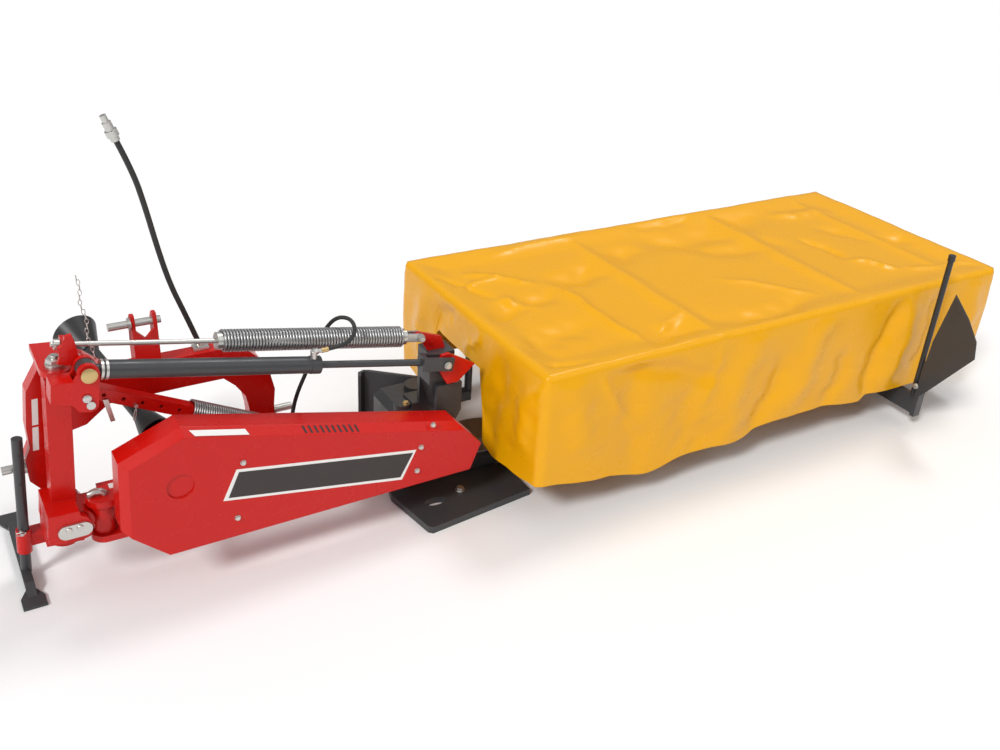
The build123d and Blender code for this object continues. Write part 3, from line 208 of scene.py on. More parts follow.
class Build:
    """Collects shapes of one material that ride on one body, and makes one object of them."""

    def __init__(self, name, mat, body, smooth=35):
        self.name = name
        self.mat = mat
        self.body = body
        self.smooth = smooth
        self.verts = []
        self.faces = []

    def add(self, verts, faces):
        """Take in points, and faces that count from the first of them."""
        base = len(self.verts)
        self.verts += [Vector(v) for v in verts]
        self.faces += [tuple(base + i for i in face) for face in faces]

    def rings(self, rings, cap=True, closed=False):
        """Skin over loops of points of equal count."""
        n = len(rings[0])
        faces = []
        count = len(rings) if closed else len(rings) - 1
        for k in range(count):
            a = k * n
            b = ((k + 1) % len(rings)) * n
            for i in range(n):
                j = (i + 1) % n
                faces.append((a + i, a + j, b + j, b + i))
        if cap and not closed:
            faces.append(tuple(range(n - 1, -1, -1)))
            faces.append(tuple((len(rings) - 1) * n + i for i in range(n)))
        self.add([v for ring in rings for v in ring], faces)

    def turned(self, start, axis, profile, segments=24, cap=True):
        """Body of revolution; profile holds distances along the axis and radii, in metres."""
        axis, side, up = square_to(axis)
        self.rings([
            circle(Vector(start) + axis * along, side, up, radius, segments)
            for along, radius in profile
        ], cap)

    def cylinder(self, a, b, radius, segments=24, edge=0.0):
        """Round bar from a to b, with both rims bevelled by edge."""
        a, b = Vector(a), Vector(b)
        length = (b - a).length
        profile = [(0, radius), (length, radius)]
        if edge > 0:
            profile = [(0, radius - edge), (edge, radius), (length - edge, radius), (length, radius - edge)]
        self.turned(a, b - a, profile, segments)

    def tube(self, points, radius, segments=10, closed=False):
        """Round wire along points."""
        points = [Vector(p) for p in points]
        count = len(points)
        rings = []
        normal = None
        for k, p in enumerate(points):
            if closed:
                tangent = (points[(k + 1) % count] - points[k - 1]).normalized()
            else:
                tangent = (points[min(k + 1, count - 1)] - points[max(k - 1, 0)]).normalized()
            if normal is None:
                normal = tangent.orthogonal().normalized()
            else:
                normal = (normal - tangent * normal.dot(tangent)).normalized()
            rings.append(circle(p, normal, tangent.cross(normal), radius, segments))
        self.rings(rings, cap=not closed, closed=closed)

    def prism(self, outline, direction):
        """Flat outline of points pushed along a vector."""
        direction = Vector(direction)
        n = len(outline)
        low = [Vector(p) for p in outline]
        high = [p + direction for p in low]
        faces = [tuple(range(n - 1, -1, -1)), tuple(range(n, 2 * n))]
        for i in range(n):
            j = (i + 1) % n
            faces.append((i, j, n + j, n + i))
        self.add(low + high, faces)

    def hexagon(self, start, axis, across, height, turn):
        """Six-sided head or nut with a domed edge; across is its width over the flats."""
        axis, side, up = square_to(axis)
        radius = across / math.sqrt(3)
        self.rings([
            circle(Vector(start) + axis * along, side, up, radius * scale, 6, turn)
            for along, scale in ((0, 1.0), (height * DOME_START, 1.0), (height, DOME_TOP))
        ])

    def washer(self, place, axis, size):
        """Washer under a head or a nut; size is the thread diameter."""
        radius = size * WASHER_RADIUS
        self.turned(place, axis, [(0, radius), (size * WASHER_HEIGHT, radius)], 20)

    def bolt(self, place, axis, size):
        """Hexagon bolt head on a washer; size is the thread diameter."""
        axis = Vector(axis).normalized()
        place = Vector(place)
        self.washer(place, axis, size)
        turn = 0.7 * math.sin(place.x * 91 + place.z * 57)
        start = place + axis * (size * WASHER_HEIGHT)
        self.hexagon(start, axis, size * HEAD_WIDTH, size * HEAD_HEIGHT, turn)

    def nut(self, place, axis, size):
        """Nut on a washer, with the end of its bolt standing out."""
        axis = Vector(axis).normalized()
        place = Vector(place)
        self.washer(place, axis, size)
        start = place + axis * size * WASHER_HEIGHT
        self.hexagon(start, axis, size * HEAD_WIDTH, size * NUT_HEIGHT, 0.4)
        self.turned(place + axis * size * 0.9, axis, [(0, size * 0.5), (size * 0.35, size * 0.45)], 14)

    def make(self):
        """One object of all shapes, with edges sharper than the smoothing angle kept sharp."""
        obj = mesh_object(self.name, self.verts, self.faces, self.mat)
        obj.data.set_sharp_from_angle(angle=math.radians(self.smooth))
        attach(obj, self.body)
        return obj


# Springs

STEPS_PER_TURN = 28
WIRE_SIDES = 8


def helix(start, end, radius, turns):
    """Points along a wound spring."""
    axis = (end - start).normalized()
    side = Vector((0, 1, 0))
    up = axis.cross(side)
    count = turns * STEPS_PER_TURN
    points = []
    for k in range(count + 1):
        t = k / count
        angle = math.tau * turns * t
        points.append(
            start.lerp(end, t) + side * (radius * math.cos(angle)) + up * (radius * math.sin(angle))
        )
    return points


def spring(name, first, last, begin, finish, outer, wire, turns, body):
    """Wound spring on the line from first to last, from begin to finish along it, in millimetres."""
    a, b = at(*first), at(*last)
    axis = (b - a).normalized()
    middle_radius = (outer - wire / 2) / 1000
    half_wire = wire / 2000
    start = a + axis * (begin / 1000 + half_wire)
    end = a + axis * (finish / 1000 - half_wire)
    build = Build(name, SPRING, body, smooth=180)
    build.tube(helix(start, end, middle_radius, turns), half_wire, WIRE_SIDES)
    return build.make()


# The ends of each spring's line, and where its coil starts and ends along that line. The lower coil's wire
# is wound back over the end of its tube, to LOWER_WRAP.
UPPER_ROD, UPPER_EYE = (-250, -160, 890), (920, -160, 670)
UPPER_COIL = (462, math.dist(UPPER_ROD, UPPER_EYE) - 72)
LOWER_BASE, LOWER_END = (-225, -160, 733), (520, -160, 358)
LOWER_COIL = (431, math.dist(LOWER_BASE, LOWER_END) - 60)
LOWER_WRAP = 347
upper_coil = spring(
    "upper_spring_wire", UPPER_ROD, UPPER_EYE, *UPPER_COIL, outer=38, wire=9, turns=62, body="upper_spring"
)
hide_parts("upper_spring_coil")
lower_coil = spring(
    "lower_spring_wire", LOWER_BASE, LOWER_END, LOWER_WRAP, LOWER_COIL[1],
    outer=37, wire=7, turns=51, body="lower_link",
)
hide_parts("lower_spring_coil")
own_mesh(lower_coil)


# Cover

# Places, heights and radii in millimetres; the creases multiply the heights of the folds
COVER_TOP = 661.0
COVER_CORNER = 27.0
COVER_EDGE = 18.0
COVER_STEP = 12.5
WALL_ROWS = 34
CROSS_TUBES = (1980.0, 2780.0, 3354.0)
TUBE_TOP = 654.8
TOP_CREASE = 2.3
WALL_CREASE = 1.9

# Folds of the top: x0, y0, x1, y1, half width, height, and 1 for a sharp crease
TOP_FOLDS = (
    (1640, 120, 1683, -540, 30, 8, 1),
    (1636, 75, 2226, 243, 60, -12, 0),
    (2226, 243, 3022, 322, 80, -11, 0),
    (1350, 319, 1600, 110, 26, 7, 1),
    (1230, 330, 1378, 41, 22, -6, 1),
    (1378, 41, 1476, -101, 30, 7, 0),
    (1250, -120, 1640, 40, 45, -8, 0),
    (1262, 180, 1500, 240, 20, 6, 1),
    (1230, -420, 1560, -250, 60, -7, 0),
    (1683, -540, 2055, -420, 50, -9, 0),
    (1720, -500, 2005, -330, 24, 5, 1),
    (1960, 380, 1990, -520, 34, 5, 0),
    (2055, -540, 2520, -480, 50, -8, 0),
    (2330, -150, 2640, -470, 30, 5, 1),
    (2440, 120, 2900, 20, 60, -7, 0),
    (2790, 420, 2770, -520, 34, 5, 0),
    (3053, -231, 3179, -408, 26, 8, 1),
    (3020, 60, 3060, -230, 26, -7, 1),
    (3100, 330, 3420, 260, 40, 7, 0),
    (3180, 120, 3500, -220, 40, -7, 0),
    (3200, -420, 3520, -500, 34, 6, 1),
    (1500, 420, 2100, 470, 26, 5, 1),
    (2300, 420, 2700, 455, 30, -5, 0),
    (1225, -520, 1400, -560, 22, -6, 1),
)

# Folds of the walls: wall, place along it and height at both ends, half width, height, 1 for sharp
WALL_FOLDS = (
    ("rear", 1400, 636, 2090, 470, 38, -11, 0),
    ("rear", 1250, 640, 1420, 300, 60, 9, 0),
    ("rear", 1390, 640, 1640, 300, 26, 8, 1),
    ("rear", 1560, 640, 1600, 150, 60, -9, 0),
    ("rear", 1760, 420, 2000, 170, 70, -11, 0),
    ("rear", 1990, 600, 1900, 330, 30, 6, 1),
    ("rear", 2150, 650, 2060, 160, 70, 9, 0),
    ("rear", 2330, 500, 2230, 150, 50, -12, 0),
    ("rear", 2560, 640, 2380, 220, 60, 9, 0),
    ("rear", 2700, 440, 2640, 180, 50, -10, 0),
    ("rear", 2960, 640, 2860, 160, 42, -16, 0),
    ("rear", 3040, 620, 3010, 170, 50, 11, 0),
    ("rear", 3240, 640, 3170, 180, 50, -12, 0),
    ("rear", 3430, 640, 3460, 180, 60, 10, 0),
    ("left", -560, 620, -450, 300, 50, 9, 0),
    ("left", -330, 600, -250, 180, 50, -9, 0),
    ("left", -180, 640, -60, 500, 30, 8, 1),
    ("left", 60, 640, 190, 510, 34, -8, 0),
    ("left", 300, 620, 330, 200, 50, 9, 0),
    ("right", -420, 630, -350, 190, 60, 12, 0),
    ("right", -120, 630, -60, 190, 60, -12, 0),
    ("right", 160, 640, 230, 190, 60, 12, 0),
    ("front", 1400, 640, 1480, 180, 60, 10, 0),
    ("front", 1800, 640, 1760, 180, 60, -11, 0),
    ("front", 2200, 640, 2290, 180, 70, 11, 0),
    ("front", 2700, 640, 2650, 180, 60, -12, 0),
    ("front", 3150, 640, 3210, 180, 60, 11, 0),
)

# Height of the hem along each wall: place along the wall, height
HEM = {
    "rear": ((1180, 205), (1470, 170), (1700, 128), (1860, 158), (2120, 150), (2330, 186), (2610, 185),
             (2850, 154), (2900, 176), (3100, 168), (3580, 178)),
    "right": ((-610, 178), (-300, 166), (0, 182), (260, 168), (505, 186)),
    "front": ((1180, 204), (1500, 178), (1900, 190), (2300, 168), (2700, 184), (3200, 170), (3580, 186)),
    "left": ((-610, 205), (-420, 172), (-296, 156), (-212, 172), (-196, 300), (-176, 489), (176, 489),
             (196, 300), (212, 190), (330, 176), (505, 204)),
}

# How one fold bends and wobbles along its length, how far it reaches to its sides and where it fades out
FOLD_BEND, FOLD_WOBBLE = 0.35, 0.12
FOLD_SPAN = 4
FADE_IN, FADE_OUT = 0.28, 0.72
SHARPNESS = 1.6

# The top's sag, the crest near its edge and its buckles: height, and how far in from the edge each sets in
SAG, SAG_BAND = 17, (20, 150)
CREST, CREST_INSET, CREST_WIDTH = 2.2, 20, 22
BUCKLE, BUCKLE_BAND = 1.6, (20, 90)
CREASE_BAND = (10, 60)

# How the top lies over a cross tube and over the tubes of the rim
BED_GAP, BED_SLOPE, BED_BLEND = 0.5, 0.26, 30
RIM_NEAR, RIM_FLAT, RIM_FAR = 14, 32, 60
RIM_LIFT, RIM_SLOPE = 2.5, 0.3

# The walls' forms: how far they stand out, their waves and how these grow downwards
WALL_HEIGHT = 480
WALL_GAP, WALL_BELLY = 2, 5
WAVE_HIGH, WAVE_GROWTH = 4, 9
WALL_BUCKLE = 2.0
HEM_WAVE = 2.5
WALL_EASE = 0.08


def smooth(a, b, t):
    """Eased step from 0 at a to 1 at b."""
    t = min(max((t - a) / (b - a), 0.0), 1.0)
    return t * t * (3 - 2 * t)


def along_table(rows, place):
    """Height at a place, eased between the rows of a table."""
    for (p0, h0), (p1, h1) in zip(rows, rows[1:]):
        if place <= p1:
            return h0 + (h1 - h0) * smooth(p0, p1, max(place, p0))
    return rows[-1][1]


def fold(u, v, u0, v0, u1, v1, width, height, sharp):
    """Height of one fold at a point; it fades out at its ends and to its sides."""
    du, dv = u1 - u0, v1 - v0
    length = math.hypot(du, dv)
    t = ((u - u0) * du + (v - v0) * dv) / length ** 2
    reach = width / length
    if t < -reach or t > 1 + reach:
        return 0.0
    side = ((u - u0) * dv - (v - v0) * du) / length
    side += FOLD_BEND * width * math.sin(t * 7 + u0) + FOLD_WOBBLE * width * math.sin(t * 23 + v0)
    if abs(side) > FOLD_SPAN * width:
        return 0.0
    ends = smooth(-reach, FADE_IN, t) * (1 - smooth(FADE_OUT, 1 + reach, t))
    shape = math.exp(-abs(side) / width * SHARPNESS) if sharp else math.exp(-(side / width) ** 2)
    return height * ends * shape


def ripple(s, phase):
    """Uneven wave of about unit height along a length in millimetres."""
    return (
        0.55 * math.sin(s / 97 + phase) + 0.3 * math.sin(s / 41 + 2.3 * phase)
        + 0.15 * math.sin(s / 17.3 + 4.1 * phase)
    )


def cover_top(x, y):
    """Height of the cover's top, which sags between the tubes of its frame."""
    inset = min(x - COVER_LEFT, COVER_RIGHT - x, y - COVER_REAR, COVER_FRONT - y)
    drop = 0.0
    if inset < COVER_EDGE:
        drop = COVER_EDGE - math.sqrt(max(COVER_EDGE ** 2 - (COVER_EDGE - inset) ** 2, 0.0))
    sag = smooth(*SAG_BAND, inset) * SAG
    crest = CREST * ripple(x + y, 1.0) * math.exp(-((inset - CREST_INSET) / CREST_WIDTH) ** 2)
    folds = TOP_CREASE * sum(fold(x, y, *row) for row in TOP_FOLDS) * smooth(*CREASE_BAND, inset)
    buckle = BUCKLE * ripple(x * 0.9 - y * 0.6, 2.0) * ripple(y * 1.1 + x * 0.2, 3.7)
    z = COVER_TOP - drop - sag + crest + folds + buckle * smooth(*BUCKLE_BAND, inset)
    for tube in CROSS_TUBES:
        bed = TUBE_TOP - BED_GAP - abs(x - tube) * BED_SLOPE
        z = 0.5 * (z + bed + math.sqrt((z - bed) ** 2 + BED_BLEND))
    if RIM_NEAR < inset < RIM_FAR:
        z = max(z, TUBE_TOP + RIM_LIFT - max(inset - RIM_FLAT, 0) * RIM_SLOPE)
    return z


def cover_wall(wall, place, s, top, t):
    """How far the cover stands out from its frame, and its height, a fraction t down a wall."""
    hem = along_table(HEM[wall], place)
    hem += HEM_WAVE * ripple(s, 0.6)
    z = top + (hem - top) * t
    low = (COVER_TOP - z) / WALL_HEIGHT
    wave = (WAVE_HIGH + WAVE_GROWTH * low) * 0.5 * ripple(s * 0.42, 5.2) * low
    out = WALL_GAP + WALL_BELLY * math.sin(math.pi * min(low, 1)) + wave
    buckle = WALL_BUCKLE * ripple(s * 0.9 + z * 0.5, 7.4) * ripple(z * 1.3 - s * 0.2, 1.9)
    out += buckle * smooth(0, 0.2, low)
    for name, *row in WALL_FOLDS:
        if name == wall:
            out += WALL_CREASE * fold(place, z, *row) * smooth(0.0, 0.12, low)
    return out, z


def round_corner(x, y):
    """Place of a point of the top's grid, drawn in to the rounded corners of the cover."""
    cx = min(max(x, COVER_LEFT + COVER_CORNER), COVER_RIGHT - COVER_CORNER)
    cy = min(max(y, COVER_REAR + COVER_CORNER), COVER_FRONT - COVER_CORNER)
    reach = math.hypot(x - cx, y - cy)
    if x != cx and y != cy and reach > COVER_CORNER:
        x = cx + (x - cx) * COVER_CORNER / reach
        y = cy + (y - cy) * COVER_CORNER / reach
    return x, y


def cover_sheet():
    """One sheet of coated fabric: the top, its rounded edge and four hanging walls."""
    nx = round((COVER_RIGHT - COVER_LEFT) / COVER_STEP)
    ny = round((COVER_FRONT - COVER_REAR) / COVER_STEP)
    verts, faces, index = [], [], {}
    for j in range(ny + 1):
        for i in range(nx + 1):
            x = COVER_LEFT + (COVER_RIGHT - COVER_LEFT) * i / nx
            y = COVER_REAR + (COVER_FRONT - COVER_REAR) * j / ny
            index[i, j] = len(verts)
            verts.append(at(*round_corner(x, y), cover_top(x, y)))
    for j in range(ny):
        for i in range(nx):
            faces.append((index[i, j], index[i + 1, j], index[i + 1, j + 1], index[i, j + 1]))

    # The top's edge, once round, and the wall that hangs from each of its points
    loop = (
        [("rear", i, 0) for i in range(nx)] + [("right", nx, j) for j in range(ny)]
        + [("front", nx - i, ny) for i in range(nx)] + [("left", 0, ny - j) for j in range(ny)]
    )
    plan = []
    for wall, i, j in loop:
        point = verts[index[i, j]] * 1000
        plan.append(Vector((point.x + ORIGIN_X, point.y + ORIGIN_Y, point.z)))
    count = len(loop)
    columns, s = [], 0.0
    for k, (wall, i, j) in enumerate(loop):
        before, here, after = plan[k - 1], plan[k], plan[(k + 1) % count]
        if k:
            s += (here - before).length
        along = Vector((after.x - before.x, after.y - before.y)).normalized()
        place = here.x if wall in ("rear", "front") else here.y
        columns.append((wall, place, s, here, (along.y, -along.x)))
    above = [index[i, j] for wall, i, j in loop]
    for row in range(1, WALL_ROWS + 1):
        t = row / WALL_ROWS
        ease = smooth(0, WALL_EASE, t)
        below = []
        for wall, place, s, here, normal in columns:
            out, z = cover_wall(wall, place, s, here.z, t)
            below.append(len(verts))
            verts.append(at(here.x + normal[0] * out * ease, here.y + normal[1] * out * ease, z))
        for k in range(count):
            m = (k + 1) % count
            faces.append((above[k], below[k], below[m], above[m]))
        above = below

    obj = mesh_object("cover", verts, faces, FABRIC)
    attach(obj, "bar")
    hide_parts("canopy_cover")
    return obj


cover = cover_sheet()


# Hoses

HOSE = (
    (176, 0, 730), (142, 0, 838), (104, 4, 952), (76, 0, 1085), (53, -4, 1220), (30, 0, 1335),
    (-8, 0, 1436),
)
LOOP = (
    (516, -246, 742), (548, -246, 743), (612, -244, 748), (650, -222, 778), (648, -182, 806),
    (612, -140, 800), (578, -108, 740), (548, -100, 660), (508, -100, 580), (468, -104, 500),
    (446, -112, 420), (440, -118, 372),
)


def hose(name, route, radius, body):
    """Hose as one spline through the points of its route, and the route's length in metres."""
    curve = bpy.data.curves.new(name, "CURVE")
    curve.dimensions = "3D"
    curve.bevel_depth = radius
    curve.bevel_resolution = 5
    curve.use_fill_caps = True
    spline = curve.splines.new("NURBS")
    spline.points.add(len(route) - 1)
    for point, place in zip(spline.points, route):
        point.co = (*at(*place), 1)
    spline.order_u = 3
    spline.use_endpoint_u = True
    spline.resolution_u = 12
    curve.materials.append(RUBBER)
    obj = bpy.data.objects.new(name, curve)
    bpy.context.scene.collection.objects.link(obj)
    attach(obj, body)
    return obj, sum(math.dist(a, b) for a, b in zip(route, route[1:])) / 1000


def standing_hose():
    """Hydraulic hose that stands up from the hitch beam."""
    obj, length = hose("hydraulic_hose", HOSE, 0.009, "hitch")
    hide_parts("hose")


def loop_hose():
    """Pressure hose from the cylinder's head over the upper spring and down to the arm."""
    obj, length = hose("cylinder_hose", LOOP, 0.007, "cylinder")
    port = Build("cylinder_port", STEEL, "cylinder")
    port.cylinder(at(488, -240, 716), at(488, -243, 746), 0.011, 20, 0.001)
    port.hexagon(at(488, -243, 742), (1, 0, 0), 0.019, 0.016, 0.2)
    port.cylinder(at(486, -243, 742), at(520, -246, 742), 0.007, 18)
    port.make()
    sleeve = Build("cylinder_hose_sleeve", YELLOW_ZINC, "cylinder")
    sleeve.cylinder(at(514, -246, 742), at(538, -246, 743), 0.0086, 20, 0.0008)
    sleeve.make()


# Small parts

# Places are in millimetres in the drawing frame; thicknesses, radii and lengths along an axis in metres
PLATE_GAP = 0.0001
GUARD_FACE = -378.0
GUARD_BOLTS = ((186, 472), (154, 264), (824, 351), (810, 255), (870, 432))
PLATE_BORDER = ((112, 344), (163, 452), (806, 345), (751, 234))
PLATE_FIELD = ((130, 351), (170, 440), (793, 336), (744, 246))
FIELD_LIFT = 0.7
CHAMFER_OUT = Vector((0.17, -0.70, 0.69)).normalized()
CHAMFER_START, CHAMFER_END = (8, 640), (975, 406)
CHAMFER_SLOPE = math.atan2(CHAMFER_END[1] - CHAMFER_START[1], CHAMFER_END[0] - CHAMFER_START[0])
SLOT_COUNT = 10
SLOT_START, SLOT_PITCH = 400, 20.5
SLOT_DROP, SLOT_Y = 13, -365
SLOT_LEAN = 0.45
SLOT_HALF_LENGTH, SLOT_HALF_WIDTH, SLOT_HEIGHT = 0.014, 0.0036, 0.0006
KINGPIN_LEAN = math.radians(5.5)
KINGPIN_FOOT, KINGPIN_RISE = -351, 611
KINGPIN_TOP = (KINGPIN_FOOT + KINGPIN_RISE * math.tan(KINGPIN_LEAN), -150, 830)
CYLINDER_FOOT, CYLINDER_EYE = (-218, -235, 834), (985, -235, 587)
SLEEVE_START, SLEEVE_END, SLEEVE_RADIUS = 0.20, 0.098, 0.01252
HITCH_LABEL_LEFT, HITCH_LABEL_LOW, HITCH_LABEL_WIDTH, HITCH_LABEL_LEAN = -386, 476, 18, 0.125
CHAIN_TOP, CHAIN_END = (-174, 10, 1030), (-157, 10, 712)
LINK_COUNT, LINK_STEPS = 19, 14
LINK_HALF_LENGTH, LINK_HALF_WIDTH, LINK_TWIST, LINK_WIRE = 0.0095, 0.0055, 0.0015, 0.0014


def panel(name, mat, body, corners, out, thickness):
    """Thin flat plate on a face; its corners lie on the face."""
    plate = Build(name, mat, body)
    plate.prism([corner + out * PLATE_GAP for corner in corners], out * thickness)
    plate.make()


def guard_details():
    """Bolts and blank plates of the belt guard, and dark strips of painted shade where its cooling vents
    lie in shadow.
    """
    bolts = Build("guard_bolts", STEEL, "arm")
    for x, z in GUARD_BOLTS:
        bolts.bolt(at(x, GUARD_FACE, z), REARWARD, 0.009)
    bolts.make()
    border = [at(x, GUARD_FACE, z) for x, z in PLATE_BORDER]
    panel("guard_plate_border", LABEL, "arm", border, REARWARD, 0.0006)
    field = [at(x, GUARD_FACE - FIELD_LIFT, z) for x, z in PLATE_FIELD]
    panel("guard_plate_field", DARK_PLATE, "arm", field, REARWARD, 0.0005)
    label = ((30, -362, 627), (205, -362, 585), (214, -376, 569), (44, -376, 610))
    panel("guard_label", LABEL, "arm", [at(*corner) for corner in label], CHAMFER_OUT, 0.0005)
    # Each dark strip is painted shade: it stands for the shadowed inside of a cooling slot on the chamfer.
    slot_shades = Build("guard_slot_shade", DARK_PLASTIC_AND_SHADE, "arm")
    across = Vector((math.cos(CHAMFER_SLOPE), 0, math.sin(CHAMFER_SLOPE)))
    down = across.cross(CHAMFER_OUT)
    down = down if down.z < 0 else -down
    slant = (down + across * SLOT_LEAN).normalized()
    for i in range(SLOT_COUNT):
        x = SLOT_START + SLOT_PITCH * i
        z = CHAMFER_START[1] + (x - CHAMFER_START[0]) * math.tan(CHAMFER_SLOPE) - SLOT_DROP
        middle = at(x, SLOT_Y, z) + CHAMFER_OUT * (SLOT_HEIGHT / 2)
        a, b = middle - slant * SLOT_HALF_LENGTH, middle + slant * SLOT_HALF_LENGTH
        half = across * SLOT_HALF_WIDTH
        slot_shades.prism([a - half, b - half, b + half, a + half], CHAMFER_OUT * SLOT_HEIGHT)
    slot_shades.make()


def arm_details():
    """Retaining strap on the knuckle and the blank label beside it."""
    label = ((-196, -150, 362), (-165, -150, 362), (-165, -178, 362), (-196, -178, 362))
    panel("knuckle_label", LABEL, "arm", [at(*corner) for corner in label], UPWARD, 0.0005)
    strap = Build("knuckle_strap", STEEL, "arm")
    strap.tube([at(-262, -198, 363), at(-262, -198, 372), at(-246, -200, 378), at(-226, -202, 376),
                at(-216, -204, 366)], 0.011, 14)
    strap.make()


def swing_details():
    """Nuts of the swing frame and its kingpin, and the pin and rings at the cylinder's foot."""
    bolts = Build("swing_bolts", STEEL, "swing")
    for x, z in ((-345, 309), (-312, 311)):
        bolts.turned(at(x, -274, z), REARWARD, [(0, 0.010), (0.003, 0.008), (0.004, 0.0)], 20, cap=False)
    bolts.turned(at(-233, -272, 757), REARWARD, [(0, 0.013), (0.003, 0.013), (0.005, 0.009)], 24)
    bolts.make()
    lean = Vector((math.sin(KINGPIN_LEAN), 0, math.cos(KINGPIN_LEAN)))
    top = at(*KINGPIN_TOP)
    nut = Build("kingpin_nut", STEEL, "swing")
    nut.hexagon(top, lean, 0.044, 0.020, 0.3)
    nut.turned(top + lean * 0.020, lean, [(0, 0.013), (0.008, 0.012)], 20)
    nut.make()
    brass = Build("cylinder_foot_pin", YELLOW_ZINC, "swing")
    brass.turned(at(-218, -279, 834), REARWARD, [(0, 0.024), (0.003, 0.024), (0.005, 0.021)], 32)
    brass.make()
    rings = Build("cylinder_foot_rings", STEEL, "cylinder")
    foot, eye = at(*CYLINDER_FOOT), at(*CYLINDER_EYE)
    along = (eye - foot).normalized()
    for place in (0.038, 0.052):
        rings.turned(foot + along * place, along, [(0, 0.031), (0.008, 0.031)], 32)
    rings.make()


def rod_details():
    """Dark end of the cylinder's rod, and the bolts of the rod's fork and the upper spring's fork."""
    foot, eye = at(*CYLINDER_FOOT), at(*CYLINDER_EYE)
    along = (eye - foot).normalized()
    reach = (eye - foot).length
    thread = Build("rod_thread", BLACK, "cylinder_stroke")
    start, end = foot + along * (reach - SLEEVE_START), foot + along * (reach - SLEEVE_END)
    thread.cylinder(start, end, SLEEVE_RADIUS, 32)
    thread.make()
    bolts = Build("rod_bolts", STEEL, "cylinder_stroke")
    bolts.bolt(eye + REARWARD * 0.029, REARWARD, 0.013)
    bolts.make()
    bolts = Build("spring_bolts", STEEL, "upper_spring")
    spring_eye = at(*UPPER_EYE)
    bolts.bolt(spring_eye + REARWARD * 0.024, REARWARD, 0.011)
    bolts.nut(spring_eye - REARWARD * 0.022, -REARWARD, 0.011)
    bolts.make()


def hitch_details():
    """Two blank labels on the left upright, and the links of the safety chain."""
    for name, low, high in (("hitch_label_low", 476, 560), ("hitch_label_high", 568, 660)):
        corners = []
        for dx, z in ((0, low), (HITCH_LABEL_WIDTH, low), (HITCH_LABEL_WIDTH, high), (0, high)):
            x = HITCH_LABEL_LEFT + (z - HITCH_LABEL_LOW) * HITCH_LABEL_LEAN + dx
            corners.append(at(x, -35, z))
        panel(name, LABEL, "hitch", corners, REARWARD, 0.0005)
    chain = Build("safety_chain", STEEL, "hitch")
    start, finish = at(*CHAIN_TOP), at(*CHAIN_END)
    step = (finish - start) / LINK_COUNT
    along = step.normalized()
    for i in range(LINK_COUNT):
        middle = start + step * (i + 0.5) + Vector((0.004 * math.sin(i * 0.9), 0, 0))
        if i % 2:
            side = Vector((LINK_HALF_WIDTH, LINK_TWIST, 0))
        else:
            side = Vector((LINK_TWIST, LINK_HALF_WIDTH, 0))
        link = [
            middle + along * (LINK_HALF_LENGTH * math.cos(a)) + side * math.sin(a)
            for a in (math.tau * k / LINK_STEPS for k in range(LINK_STEPS))
        ]
        chain.tube(link, LINK_WIRE, 6, closed=True)
    chain.make()


def spring_tube_details():
    """Pin with its ring in the lower spring's tube, and the flat lever beside it."""
    pin = Build("tube_pin", STEEL, "lower_link")
    pin.cylinder(at(-83, -196, 650), at(-83, -132, 650), 0.0062, 18, 0.001)
    ring = (
        (-83, -194, 650), (-92, -196, 632), (-99, -196, 606), (-94, -196, 600), (-88, -195, 620),
        (-84, -194, 642),
    )
    pin.tube([at(*place) for place in ring], 0.0014, 8)
    pin.make()
    lever = Build("tube_lever", STEEL, "lower_link")
    lever.prism([at(-178, -183, 694), at(-162, -183, 691), at(-150, -183, 613), at(-164, -183, 611)],
                REARWARD * 0.005)
    lever.make()


def stand_details():
    """Dark dots of painted shade for the shadowed insides of the stand leg's locking-hole openings, and the
    clip on its sleeve.
    """
    hole_shades = Build("stand_hole_shade", DARK_PLASTIC_AND_SHADE, "stand")
    # Each dot is painted shade standing for the shadowed inside of a locking hole.
    for x, z in ((-430, 484), (-441, 378)):
        hole_shades.turned(at(x, -59.2, z), REARWARD, [(0, 0.005), (0.0006, 0.005)], 16)
    hole_shades.make()
    clip = Build("stand_clip", STEEL, "hitch")
    clip.cylinder(at(-468, -86, 203), at(-468, -62, 203), 0.005, 16)
    bow = (
        (-484, -80, 210), (-466, -84, 214), (-456, -82, 207), (-466, -84, 199), (-484, -80, 203),
    )
    clip.tube([at(*place) for place in bow], 0.0022, 8)
    clip.make()


def bar_details():
    """Bolt on the skid, the bolt of the swathboard and the gearbox's filler plug."""
    zinc = Build("bar_bolts", STEEL, "bar")
    zinc.bolt(at(1051, -275, 28), UPWARD, 0.017)
    zinc.bolt(at(3108, -690, 210), (-1, 0, 0), 0.012)
    zinc.make()
    plug = Build("gearbox_plug", YELLOW_ZINC, "bar")
    plug.bolt(at(902, -97, 358), UPWARD, 0.012)
    plug.make()


standing_hose()
guard_details()
arm_details()
swing_details()
rod_details()
hitch_details()
spring_tube_details()
stand_details()
loop_hose()
bar_details()


# Camera, light and floor

SENSOR_WIDTH = 36
FOCAL_PIXELS, PICTURE_PIXELS = 1043.1, 1000
CAMERA_PLACE = (-608.8, -3139.4, 2382.8)
YAW, PITCH, ROLL = 0.563445, 0.506624, -0.063575
FLOOR_HALF = 60.0
FLOOR_Z = -0.0005

# Name, direction of the light, strength, and width in degrees, which softens the shadows
SUNS = (
    ("key", (0.80, 0.42, -0.80), 1.75, 12),
    ("fill", (-0.5, 0.75, -0.8), 0.35, 45),
    ("top", (-0.45, -0.2, -0.87), 0.75, 16),
)

# The world is white to the camera. It lights the object more dimly, from a grey below to white above.
SEEN_STRENGTH, LIT_STRENGTH = 1.0, 0.52
LOW_GREY, LOW_POSITION, HIGH_POSITION = (0.30, 0.30, 0.31, 1), 0.42, 0.85
WHITE = (1, 1, 1, 1)


